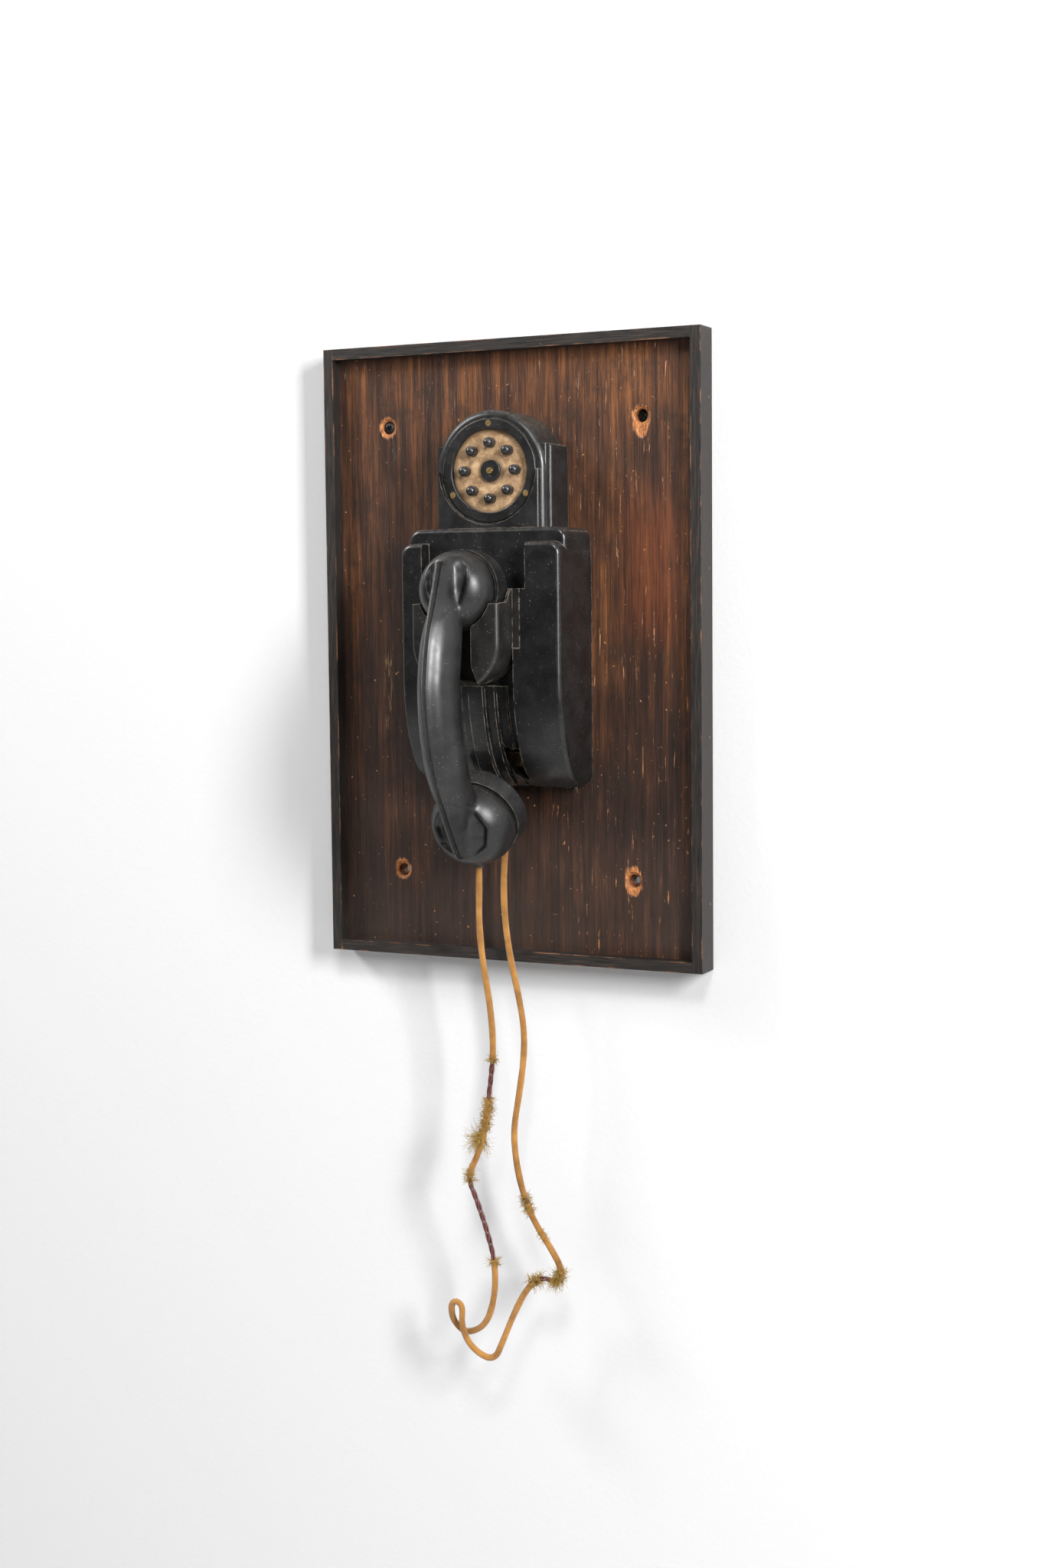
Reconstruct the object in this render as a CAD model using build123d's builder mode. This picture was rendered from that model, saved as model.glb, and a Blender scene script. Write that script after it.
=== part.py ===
from build123d import *
import os
from math import cos, pi, radians, sin, tan

# Wall telephone on a framed board. Millimetres, +Z up, the front faces -Y.
# The origin is the centre of the board's back face, so the wall is the plane Y = 0.
# A "depth" below is a distance in front of the wall, so it is minus Y.

os.makedirs("parts", exist_ok=True)

# Board and its frame
board_w = 304.8
board_h = 457.2
panel_t = 12.0
strip_t = 8.0
strip_depth = 22.0
nail_r = 0.8
nail_len = 18.0
upper_hole_x, upper_hole_z = 103.0, 169.0
lower_hole_x, lower_hole_z = 95.5, -165.5
fixing_r = 2.75
fixing_sink_r = 4.75
fixing_sink_depth = 6.5
fixing_mouth_r = 7.0
fixing_mouth_depth = 2.0

# Main case
case_half = 63.5
case_top = 90.5
case_bottom = -97.0
case_wall = 3.0
body_front = 55.5
wing_front = 67.5
wing_top = 80.0
bow_start_z = -15.0
bow_mid = (64.5, -45.0)
bow_knee = (56.5, -71.0)
bow_foot = 31.0
corner_r = 9.0
edge_r = 3.5

# Recess between the wings; it sits a little left of the case's middle
recess_x = -4.7
recess_upper_half = 41.3
recess_lower_half = 37.0
strip_inner_half = 31.3
jog_z = 47.0
strip_top_z = 4.5
flute_top_z = -22.7
flutes = ((21.2, 9.5), (13.3, 5.5), (5.8, 1.5))

# Cradle
cup_back = 58.0
cup_start = 66.0
cup_front = 97.0
cup_back_half = 31.0
cup_front_half = 34.5
cup_wall = 2.4
cup_arc_z = 9.0
lip_t = 3.5
seat_r = 29.0
slot_half = 13.0
lug_half = 6.0
lug_low, lug_high = 0.0, 26.0
lug_back = 34.0
cradle_rise = 7.0

# Selector
dial_z = 131.8
arch_r = 43.5
arch_front = 48.0
arch_round = 5.0
shoulder_half = 45.5
shoulder_top = 150.0
shoulder_front = 40.0
rib_front = 45.0
plate_half = 40.7
plate_front = 52.0
plate_cut_r = 38.6
ring_r, ring_inner_r = 37.1, 30.0
ring_front = 49.0
ring_screw_r = 33.8
face_r = 39.0
face_back, face_front = 43.5, 45.0
key_count = 8
key_circle_r = 20.0
key_r = 3.72
disc_back, disc_front = 30.0, 32.5
frame_r = 39.8
leg_r = 4.0

# Handset
ear_z = 46.3
ear_cap_r = 28.65
ear_cap_back = 68.3
ear_rim = 84.7
ear_rim_r = 27.9
mouth_rim_depth, mouth_rim_z = 64.1, -118.0
mouth_tilt = 30.0
mouth_rim_r = 31.5
mouth_cap_r = 33.5
mouth_cap_len = 14.0

# Cord
cord_r = 2.5
handset_bush_at = (-6.0, -60.0)
handset_bush_low = -154.0
case_bush_at = (-2.0, -20.0)
case_bush_low = -101.0


def front_plane(depth, x=0.0, z=0.0):
    """Plane parallel to the wall, facing the viewer, at a distance in front of the wall."""
    return Plane(origin=(x, -depth, z), x_dir=(1, 0, 0), z_dir=(0, -1, 0))


def bowed_slab(x_low, x_high, front, top, inset=0.0, bottom=case_bottom, back=panel_t):
    """Solid between two X planes whose lower front follows the case's bow, set back by inset."""
    bow_front = wing_front - inset
    knee = (-(bow_knee[0] - 0.93 * inset), bow_knee[1] + 0.37 * inset)
    foot = (-(bow_foot - 0.8 * inset), bottom)
    with BuildPart() as piece:
        with BuildSketch(Plane.YZ.offset(x_low)):
            with BuildLine():
                Polyline((-back, top), (-front, top), (-front, bow_start_z))
                if front != bow_front:
                    Line((-front, bow_start_z), (-bow_front, bow_start_z))
                upper = ThreePointArc((-bow_front, bow_start_z), (-(bow_mid[0] - inset), bow_mid[1]), knee)
                TangentArc(knee, foot, tangent=upper % 1)
                Polyline(foot, (-back, bottom), (-back, top))
            make_face()
        extrude(amount=x_high - x_low)
    return piece.part


# ---------------------------------------------------------------- board
strip_mid = board_w / 2 - strip_t / 2
nail_rows_z = (-180.0, -60.0, 60.0, 180.0)
nail_rows_x = (-100.0, 0.0, 100.0)
nail_depth = panel_t / 2

with BuildPart() as strip_nails:
    for side in (-1, 1):
        start_x = side * board_w / 2
        for nail_z in nail_rows_z:
            with BuildSketch(Plane(origin=(start_x, -nail_depth, nail_z), z_dir=(-side, 0, 0))):
                Circle(nail_r)
            extrude(amount=nail_len)
        start_z = side * board_h / 2
        for nail_x in nail_rows_x:
            with BuildSketch(Plane(origin=(nail_x, -nail_depth, start_z), z_dir=(0, 0, -side))):
                Circle(nail_r)
            extrude(amount=nail_len)
strip_nails.part.label = "strip_nails"
export_step(strip_nails.part, "parts/strip_nails.step")

fixing_points = [(sx * upper_hole_x, upper_hole_z) for sx in (-1, 1)]
fixing_points += [(sx * lower_hole_x, lower_hole_z) for sx in (-1, 1)]
base_screw_points = [(sx * 46.0, z) for sx in (-1, 1) for z in (-66.0, 70.0)]
base_screw_r = 1.5
base_screw_bite = 9.0
leg_angles = (90.0, 210.0, 330.0)
leg_circle_r = 34.0
leg_points = [
    (leg_circle_r * cos(radians(a)), dial_z + leg_circle_r * sin(radians(a))) for a in leg_angles
]

with BuildPart() as back_panel:
    with BuildSketch(front_plane(0.0)):
        Rectangle(board_w - 2 * strip_t, board_h - 2 * strip_t)
    extrude(amount=panel_t)
    with BuildSketch(front_plane(0.0)):
        with Locations(*fixing_points):
            Circle(fixing_r)
    extrude(amount=panel_t, mode=Mode.SUBTRACT)
    with BuildSketch(front_plane(panel_t - fixing_sink_depth)):
        with Locations(*fixing_points):
            Circle(fixing_sink_r)
    extrude(amount=fixing_sink_depth, mode=Mode.SUBTRACT)
    for x, z in fixing_points:
        with BuildSketch(front_plane(panel_t - fixing_mouth_depth, x, z)):
            Circle(fixing_sink_r)
        with BuildSketch(front_plane(panel_t, x, z)):
            Circle(fixing_mouth_r)
        loft(mode=Mode.SUBTRACT)
    with BuildSketch(front_plane(panel_t - base_screw_bite)):
        with Locations(*base_screw_points, *leg_points):
            Circle(base_screw_r)
    extrude(amount=base_screw_bite, mode=Mode.SUBTRACT)
    add(strip_nails.part, mode=Mode.SUBTRACT)
back_panel.part.label = "back_panel"
export_step(back_panel.part, "parts/back_panel.step")

with BuildPart() as strip_left:
    with BuildSketch(front_plane(0.0, -strip_mid, 0.0)):
        Rectangle(strip_t, board_h)
    extrude(amount=strip_depth)
    add(strip_nails.part, mode=Mode.SUBTRACT)
strip_left.part.label = "strip_left"
export_step(strip_left.part, "parts/strip_left.step")

with BuildPart() as strip_right:
    with BuildSketch(front_plane(0.0, strip_mid, 0.0)):
        Rectangle(strip_t, board_h)
    extrude(amount=strip_depth)
    add(strip_nails.part, mode=Mode.SUBTRACT)
strip_right.part.label = "strip_right"
export_step(strip_right.part, "parts/strip_right.step")

with BuildPart() as strip_top:
    with BuildSketch(front_plane(0.0, 0.0, board_h / 2 - strip_t / 2)):
        Rectangle(board_w - 2 * strip_t, strip_t)
    extrude(amount=strip_depth)
    add(strip_nails.part, mode=Mode.SUBTRACT)
strip_top.part.label = "strip_top"
export_step(strip_top.part, "parts/strip_top.step")

with BuildPart() as strip_bottom:
    with BuildSketch(front_plane(0.0, 0.0, strip_t / 2 - board_h / 2)):
        Rectangle(board_w - 2 * strip_t, strip_t)
    extrude(amount=strip_depth)
    add(strip_nails.part, mode=Mode.SUBTRACT)
strip_bottom.part.label = "strip_bottom"
export_step(strip_bottom.part, "parts/strip_bottom.step")

# ---------------------------------------------------------------- base plate
plate_t = 2.0
plate_top = panel_t + plate_t
lug_x = 52.6
lug_w, lug_deep, lug_t = 7.0, 11.0, 3.0
lug_plate_z = -91.0
case_screw_r = 1.5

with BuildPart() as base_plate:
    with BuildSketch(front_plane(panel_t, 0.0, -2.5)):
        RectangleRounded(117.0, 174.0, 6.0)
    extrude(amount=plate_t)
    for side in (-1, 1):
        with BuildSketch(Plane.XY.offset(lug_plate_z)):
            with Locations((side * lug_x, -(plate_top + lug_deep / 2 - 0.5))):
                Rectangle(lug_w, lug_deep + 1.0)
        extrude(amount=lug_t)
        with BuildSketch(Plane.XY.offset(lug_plate_z)):
            with Locations((side * lug_x, -19.0)):
                Circle(case_screw_r)
        extrude(amount=lug_t, mode=Mode.SUBTRACT)
    with BuildSketch(front_plane(panel_t)):
        with Locations(*base_screw_points):
            Circle(base_screw_r)
    extrude(amount=plate_t, mode=Mode.SUBTRACT)
base_plate.part.label = "base_plate"
export_step(base_plate.part, "parts/base_plate.step")

with BuildPart() as base_screws:
    with BuildSketch(front_plane(panel_t - base_screw_bite)):
        with Locations(*base_screw_points):
            Circle(base_screw_r)
    extrude(amount=base_screw_bite + plate_t)
    with BuildSketch(front_plane(plate_top)):
        with Locations(*base_screw_points):
            Circle(3.0)
    extrude(amount=1.8)
    with BuildSketch(front_plane(plate_top + 1.0)):
        with Locations(*base_screw_points):
            Rectangle(4.6, 0.9)
    extrude(amount=1.0, mode=Mode.SUBTRACT)
base_screws.part.label = "base_screws"
export_step(base_screws.part, "parts/base_screws.step")

# ---------------------------------------------------------------- main case
body_inset = wing_front - body_front
case_body = bowed_slab(-case_half, case_half, body_front, case_top, inset=body_inset)
case_wings = bowed_slab(-case_half, case_half, wing_front, wing_top)
flute_slabs = [
    bowed_slab(recess_x - half, recess_x + half, wing_front - inset, 0.0, inset=inset)
    for half, inset in flutes
]
case_hollow = bowed_slab(
    -case_half + case_wall,
    case_half - case_wall,
    body_front - case_wall,
    case_top - case_wall,
    inset=body_inset + case_wall,
    bottom=case_bottom + case_wall,
)
wing_hollows = [
    bowed_slab(low, high, wing_front - case_wall, wing_top - case_wall, case_wall, case_bottom + case_wall)
    for low, high in (
        (-case_half + case_wall, recess_x - recess_upper_half - case_wall),
        (recess_x + recess_upper_half + case_wall, case_half - case_wall),
    )
]
recess_depth = 200.0

# Front view of the wings, with round corners
with BuildPart() as wing_outline:
    with BuildSketch(front_plane(panel_t, 0.0, (wing_top + case_bottom) / 2)):
        RectangleRounded(2 * case_half, wing_top - case_bottom, corner_r)
    extrude(amount=recess_depth)

# Front view of the body, with round top corners
with BuildPart() as body_outline:
    with BuildSketch(front_plane(panel_t, 0.0, (case_top + case_bottom) / 2)):
        RectangleRounded(2 * case_half - 1.0, case_top - case_bottom, corner_r)
    extrude(amount=recess_depth)

# Flutes with their tops cut level
with BuildPart() as flute_stack:
    for flute in flute_slabs:
        add(flute)
    with BuildSketch(Plane.XY.offset(flute_top_z)):
        Rectangle(300.0, 300.0)
    extrude(amount=100.0, mode=Mode.SUBTRACT)

with BuildPart() as body_shape:
    add(case_body)
    add(body_outline.part, mode=Mode.INTERSECT)
    top_edges = body_shape.edges().filter_by(
        lambda e: abs(e.center().Y + body_front) < 0.01 and e.center().Z > 0
    )
    fillet(top_edges, edge_r)

with BuildPart() as wing_shape:
    add(case_wings)
    add(wing_outline.part, mode=Mode.INTERSECT)
    front_edges = wing_shape.edges().filter_by(
        lambda e: e.bounding_box().max.Y < -30.0
        and e.bounding_box().min.Y < -30.5
        and not (abs(e.center().X) < 50.0 and e.center().Z < -20.0)
    )
    fillet(front_edges, edge_r)
    for low_z, high_z, half in (
        (jog_z, 300.0, recess_upper_half),
        (strip_top_z, jog_z, recess_lower_half),
        (-300.0, strip_top_z, strip_inner_half),
    ):
        with BuildSketch(Plane.XY.offset(low_z)):
            with Locations((recess_x, -recess_depth / 2 - panel_t)):
                Rectangle(2 * half, recess_depth)
        extrude(amount=high_z - low_z, mode=Mode.SUBTRACT)

chip_outline = (
    (8.5, -64.0), (10.6, -67.8), (13.0, -66.4), (15.2, -69.6), (18.4, -68.2), (20.5, -71.0),
    (25.8, -70.4), (25.4, -86.0), (19.0, -93.0), (12.5, -88.0), (9.4, -78.0),
)

with BuildPart() as housing:
    add(body_shape.part)
    add(wing_shape.part)
    add(flute_stack.part)
    add(case_hollow, mode=Mode.SUBTRACT)
    for hollow in wing_hollows:
        add(hollow, mode=Mode.SUBTRACT)
    # window for the cradle's lug
    lug_slot_z = (lug_low + lug_high + cradle_rise) / 2
    with BuildSketch(front_plane(body_front - 2 * case_wall, recess_x, lug_slot_z)):
        Rectangle(2 * lug_half + 5.0, lug_high - lug_low + cradle_rise + 6.0)
    extrude(amount=3 * case_wall, mode=Mode.SUBTRACT)
    # broken-out flutes low on the right
    with BuildSketch(front_plane(panel_t + 4.0)):
        with BuildLine():
            Polyline(*chip_outline, close=True)
        make_face()
    extrude(amount=60.0, mode=Mode.SUBTRACT)
    # cord hole and screw holes through the underside
    with BuildSketch(Plane.XY.offset(case_bottom - 1.0)):
        with Locations(case_bush_at):
            Circle(4.0)
    extrude(amount=9.0, mode=Mode.SUBTRACT)
    with BuildSketch(Plane.XY.offset(case_bottom - 1.0)):
        with Locations((-lug_x, -19.0), (lug_x, -19.0)):
            Circle(case_screw_r)
    extrude(amount=case_wall + 2.0, mode=Mode.SUBTRACT)
housing.part.label = "housing"
export_step(housing.part, "parts/housing.step")

with BuildPart() as housing_screws:
    for side in (-1, 1):
        with BuildSketch(Plane.XY.offset(case_bottom)):
            with Locations((side * lug_x, -19.0)):
                Circle(case_screw_r)
        extrude(amount=lug_plate_z + lug_t - case_bottom + 1.0)
        with BuildSketch(Plane.XY.offset(case_bottom - 2.0)):
            with Locations((side * lug_x, -19.0)):
                Circle(3.0)
        extrude(amount=2.0)
        with BuildSketch(Plane.XY.offset(case_bottom - 2.5)):
            with Locations((side * lug_x, -19.0)):
                Rectangle(7.0, 0.9)
        extrude(amount=1.5, mode=Mode.SUBTRACT)
housing_screws.part.label = "housing_screws"
export_step(housing_screws.part, "parts/housing_screws.step")

with BuildPart() as housing_bush:
    with BuildSketch(Plane.XY.offset(case_bush_low)):
        with Locations(case_bush_at):
            Circle(4.6)
    extrude(amount=case_bottom - case_bush_low, taper=-3)
    with BuildSketch(Plane.XY.offset(case_bottom)):
        with Locations(case_bush_at):
            Circle(3.95)
    extrude(amount=8.0)
housing_bush.part.label = "housing_bush"
export_step(housing_bush.part, "parts/housing_bush.step")

# ---------------------------------------------------------------- cradle


def cup_outline(depth, half, top):
    """Sketch of the cup's U: straight sides down to a half round."""
    with BuildSketch(front_plane(depth)) as outline:
        with Locations((recess_x, (top + cup_arc_z) / 2)):
            Rectangle(2 * half, top - cup_arc_z)
        with Locations((recess_x, cup_arc_z)):
            Circle(half)
    return outline.sketch


cup_top = 60.0
outer_back = cup_outline(cup_back, cup_back_half, cup_top)
outer_start = cup_outline(cup_start, cup_back_half, cup_top)
outer_front = cup_outline(cup_front, cup_front_half, cup_top)
inner_back_depth = cup_back + lip_t
inner_front_depth = cup_front - lip_t
inner_back = cup_outline(inner_back_depth, cup_back_half - cup_wall + 0.2, cup_top + 5.0)
inner_front = cup_outline(inner_front_depth, cup_front_half - cup_wall - 1.0, cup_top + 5.0)

# What is cut away above the cup's dipping rim, seen from the side
with BuildPart() as rim_cut:
    with BuildSketch(Plane.YZ.offset(-100.0)):
        with BuildLine():
            Polyline((-cup_back + 1.0, 80.0), (-cup_back + 1.0, 47.0), (-67.5, 47.0))
            dip = ThreePointArc((-67.5, 47.0), (-72.0, 44.8), (-75.0, 41.0))
            TangentArc((-75.0, 41.0), (-82.0, 37.5), tangent=dip % 1)
            Polyline(
                (-82.0, 37.5), (-cup_front - 1.0, 36.3), (-cup_front - 1.0, 80.0), (-cup_back + 1.0, 80.0)
            )
        make_face()
    extrude(amount=200.0)

with BuildPart() as cradle:
    extrude(outer_back, amount=cup_start - cup_back)
    loft([outer_start, outer_front])
    lip_edges = cradle.edges().filter_by(
        lambda e: abs(e.center().Y + cup_front) < 0.01 and e.center().Z < cup_top - 1.0
    )
    fillet(lip_edges, 3.0)
    loft([inner_back, inner_front], mode=Mode.SUBTRACT)
    # side flanges that close the recess beside the cup
    for side in (-1, 1):
        with BuildSketch(front_plane(63.8, recess_x + side * 33.6, (strip_top_z + 0.3 + jog_z) / 2)):
            Rectangle(6.2, jog_z - strip_top_z - 0.3)
        extrude(amount=3.5)
    add(rim_cut.part, mode=Mode.SUBTRACT)
    with BuildSketch(front_plane(cup_back - 0.5)):
        with Locations((recess_x, 60.0)):
            Rectangle(90.0, 26.0)
    extrude(amount=6.0, mode=Mode.SUBTRACT)
    # seat for the ear end, and the slot between the prongs
    with BuildSketch(front_plane(cup_front - lip_t - 3.0, recess_x, ear_z)):
        Circle(seat_r)
    extrude(amount=lip_t + 6.0, mode=Mode.SUBTRACT)
    with BuildSketch(front_plane(70.0, recess_x, 0.0)):
        with BuildLine():
            Polyline(
                (-slot_half, 25.0), (-slot_half, -7.0), (-slot_half - 9.0, -30.0),
                (slot_half + 9.0, -30.0), (slot_half, -7.0), (slot_half, 25.0),
                close=True,
            )
        make_face()
    extrude(amount=30.0, mode=Mode.SUBTRACT)
    # lug that reaches into the case and works the switch
    with BuildSketch(front_plane(lug_back, recess_x, (lug_low + lug_high) / 2)):
        Rectangle(2 * lug_half, lug_high - lug_low)
    extrude(amount=cup_back + 1.0 - lug_back)
cradle.part.label = "cradle"
export_step(cradle.part, "parts/cradle.step")

guide_low = -34.0
guide_floor_t = 3.0
guide_gap = 0.3
guide_t = 2.0
guide_front = 50.0

with BuildPart() as cradle_guide:
    for side in (-1, 1):
        rail_x = recess_x + side * (lug_half + guide_gap + guide_t / 2)
        with BuildSketch(front_plane(plate_top, rail_x, (guide_low + 40.0) / 2)):
            Rectangle(guide_t, 40.0 - guide_low)
        extrude(amount=guide_front - plate_top)
    with BuildSketch(front_plane(plate_top, recess_x, guide_low + guide_floor_t / 2)):
        Rectangle(2 * (lug_half + guide_gap) + 0.5, guide_floor_t)
    extrude(amount=guide_front - plate_top)
cradle_guide.part.label = "cradle_guide"
export_step(cradle_guide.part, "parts/cradle_guide.step")


def coil_spring(base, length, coil_r, wire_r, turns):
    """Helical spring that starts on a plane and rises along its normal."""
    with BuildPart() as spring:
        with BuildLine() as path:
            Helix(pitch=(length - 2 * wire_r) / turns, height=length - 2 * wire_r, radius=coil_r)
        with BuildSketch(Plane(origin=path.line @ 0, z_dir=path.line % 0)):
            Circle(wire_r)
        sweep(path=path.line, is_frenet=True)
    return base * Pos(0, 0, wire_r) * spring.part


hook_spring = coil_spring(
    Plane(origin=(recess_x, -44.0, guide_low + guide_floor_t)), lug_low - 0.3 - guide_low - guide_floor_t,
    4.0, 0.5, 8,
)
hook_spring.label = "hook_spring"
export_step(hook_spring, "parts/hook_spring.step")

switch_x = recess_x + 18.0
with BuildPart() as hook_contacts:
    with BuildSketch(front_plane(plate_top, switch_x, 8.0)):
        Rectangle(11.0, 22.0)
    extrude(amount=10.0)
    for level, leaf_z in enumerate((2.0, 8.0, 14.0)):
        with BuildSketch(front_plane(plate_top + 9.0, switch_x, leaf_z)):
            Rectangle(6.0, 0.6)
        extrude(amount=22.0 - 3.0 * level)
hook_contacts.part.label = "hook_contacts"
export_step(hook_contacts.part, "parts/hook_contacts.step")

# ---------------------------------------------------------------- inside the case
buzzer_x, buzzer_z = -26.0, 60.0
with BuildPart() as buzzer_frame:
    with BuildSketch(front_plane(plate_top, buzzer_x, buzzer_z)):
        Rectangle(30.0, 36.0)
    extrude(amount=2.0)
    with BuildSketch(Plane.XY.offset(buzzer_z - 18.0)):
        with Locations((buzzer_x, -plate_top - 13.0)):
            Rectangle(30.0, 26.0)
    extrude(amount=2.0)
buzzer_frame.part.label = "buzzer_frame"
export_step(buzzer_frame.part, "parts/buzzer_frame.step")

coil_low = buzzer_z - 16.0
coil_depth = 29.0
with BuildPart() as buzzer_coil:
    for level, radius, height in ((0.0, 9.5, 1.5), (1.5, 8.0, 20.0), (21.5, 9.5, 1.5), (23.0, 3.0, 2.0)):
        with BuildSketch(Plane.XY.offset(coil_low + level)):
            with Locations((buzzer_x, -coil_depth)):
                Circle(radius)
        extrude(amount=height)
buzzer_coil.part.label = "buzzer_coil"
export_step(buzzer_coil.part, "parts/buzzer_coil.step")

armature_z = coil_low + 25.8
with BuildPart() as buzzer_armature:
    with BuildSketch(Plane.XY.offset(armature_z)):
        with Locations((buzzer_x, -29.0)):
            Rectangle(14.0, 25.0)
    extrude(amount=1.5)
    with BuildSketch(Plane.XY.offset(armature_z + 1.5)):
        with Locations((buzzer_x, -38.0)):
            Circle(3.0)
    extrude(amount=2.0)
buzzer_armature.part.label = "buzzer_armature"
export_step(buzzer_armature.part, "parts/buzzer_armature.step")

induction_x = 31.0
with BuildPart() as induction_coil:
    for level, size in ((20.0, 20.0), (72.0, 20.0)):
        with BuildSketch(Plane.XY.offset(level)):
            with Locations((induction_x, -plate_top - 10.0)):
                Rectangle(size, size)
        extrude(amount=2.5)
    with BuildSketch(Plane.XY.offset(22.5)):
        with Locations((induction_x, -plate_top - 10.0)):
            Circle(8.5)
    extrude(amount=49.5)
induction_coil.part.label = "induction_coil"
export_step(induction_coil.part, "parts/induction_coil.step")

with BuildPart() as condenser:
    with BuildSketch(front_plane(plate_top, -36.0, -20.0)):
        RectangleRounded(30.0, 46.0, 2.0)
    extrude(amount=20.0)
    with BuildSketch(front_plane(plate_top + 20.0, -36.0, -20.0)):
        with GridLocations(12.0, 1.0, 2, 1):
            Circle(1.5)
    extrude(amount=4.0)
condenser.part.label = "condenser"
export_step(condenser.part, "parts/condenser.step")

terminal_z = -78.0
terminal_points = [(-40.0 + 16.0 * i, terminal_z) for i in range(6)]
with BuildPart() as terminal_strip:
    with BuildSketch(front_plane(plate_top, 0.0, terminal_z)):
        Rectangle(94.0, 11.0)
    extrude(amount=8.0)
    with BuildSketch(front_plane(plate_top + 2.0)):
        with Locations(*terminal_points):
            Circle(1.2)
    extrude(amount=8.0, mode=Mode.SUBTRACT)
terminal_strip.part.label = "terminal_strip"
export_step(terminal_strip.part, "parts/terminal_strip.step")

with BuildPart() as terminal_screws:
    with BuildSketch(front_plane(plate_top + 2.0)):
        with Locations(*terminal_points):
            Circle(1.2)
    extrude(amount=6.0)
    with BuildSketch(front_plane(plate_top + 8.0)):
        with Locations(*terminal_points):
            Circle(2.6)
    extrude(amount=1.6)
    with BuildSketch(front_plane(plate_top + 9.0)):
        with Locations(*terminal_points):
            Rectangle(6.0, 0.8)
    extrude(amount=1.0, mode=Mode.SUBTRACT)
terminal_screws.part.label = "terminal_screws"
export_step(terminal_screws.part, "parts/terminal_screws.step")

# ---------------------------------------------------------------- selector
key_angles = [90.0 + 360.0 / key_count * i for i in range(key_count)]
key_points = [
    (key_circle_r * cos(radians(a)), dial_z + key_circle_r * sin(radians(a))) for a in key_angles
]
ring_screw_angles = (90.0, 210.0, 330.0)
ring_screw_points = [
    (ring_screw_r * cos(radians(a)), dial_z + ring_screw_r * sin(radians(a))) for a in ring_screw_angles
]
arch_foot_z = (dial_z + case_top) / 2
arch_foot_h = dial_z - case_top
shoulder_mid_z = (shoulder_top + case_top) / 2
shoulder_h = shoulder_top - case_top

with BuildPart() as shoulder_block:
    with BuildSketch(front_plane(panel_t, 0.0, shoulder_mid_z)):
        Rectangle(2 * shoulder_half, shoulder_h)
    extrude(amount=shoulder_front - panel_t)
    round_edges = shoulder_block.edges().filter_by(
        lambda e: e.center().Z > shoulder_top - 0.1 or (abs(e.center().Y + shoulder_front) < 0.1)
    ).filter_by(lambda e: e.center().Z > case_top + 1.0 and e.center().Y < -panel_t - 1.0)
    fillet(round_edges, 2.5)

with BuildPart() as side_rib:
    with BuildSketch(front_plane(panel_t, 0.0, shoulder_mid_z)):
        Rectangle(2 * arch_r + 0.6, shoulder_h)
    extrude(amount=rib_front - panel_t)
    rib_edges = side_rib.edges().filter_by(Axis.Z).group_by(Axis.Y)[0]
    fillet(rib_edges, 2.0)

with BuildPart() as arch_shape:
    with BuildSketch(front_plane(panel_t)):
        with Locations((0.0, dial_z)):
            Circle(arch_r)
        with Locations((0.0, arch_foot_z)):
            Rectangle(2 * arch_r, arch_foot_h)
    extrude(amount=arch_front - panel_t)
    arch_edges = arch_shape.edges().filter_by(
        lambda e: abs(e.center().Y + arch_front) < 0.01 and e.center().Z > case_top + 1.0
    )
    fillet(arch_edges, arch_round)

with BuildPart() as front_tablet:
    with BuildSketch(front_plane(arch_front - 4.0, 0.0, arch_foot_z)):
        Rectangle(2 * plate_half, arch_foot_h)
    extrude(amount=plate_front - arch_front + 4.0)
    tablet_edges = front_tablet.edges().filter_by(Axis.Z).group_by(Axis.Y)[0]
    fillet(tablet_edges, 2.0)

with BuildPart() as selector_housing:
    add(arch_shape.part)
    add(shoulder_block.part)
    add(side_rib.part)
    add(front_tablet.part)
    with BuildSketch(front_plane(arch_front, 0.0, dial_z)):
        Circle(plate_cut_r)
    extrude(amount=10.0, mode=Mode.SUBTRACT)
    with BuildSketch(front_plane(panel_t - 1.0)):
        with Locations((0.0, dial_z)):
            Circle(arch_r - case_wall)
        with Locations((0.0, arch_foot_z)):
            Rectangle(2 * (arch_r - case_wall), arch_foot_h - 2 * case_wall)
    extrude(amount=face_front - panel_t + 1.0, mode=Mode.SUBTRACT)
    with BuildSketch(front_plane(face_front - 1.0, 0.0, dial_z)):
        Circle(ring_r + 0.3)
    extrude(amount=10.0, mode=Mode.SUBTRACT)
    with BuildSketch(Plane.XY.offset(case_top)):
        Rectangle(200.0, 200.0)
    extrude(amount=-20.0, mode=Mode.SUBTRACT)
selector_housing.part.label = "selector_housing"
export_step(selector_housing.part, "parts/selector_housing.step")

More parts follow.
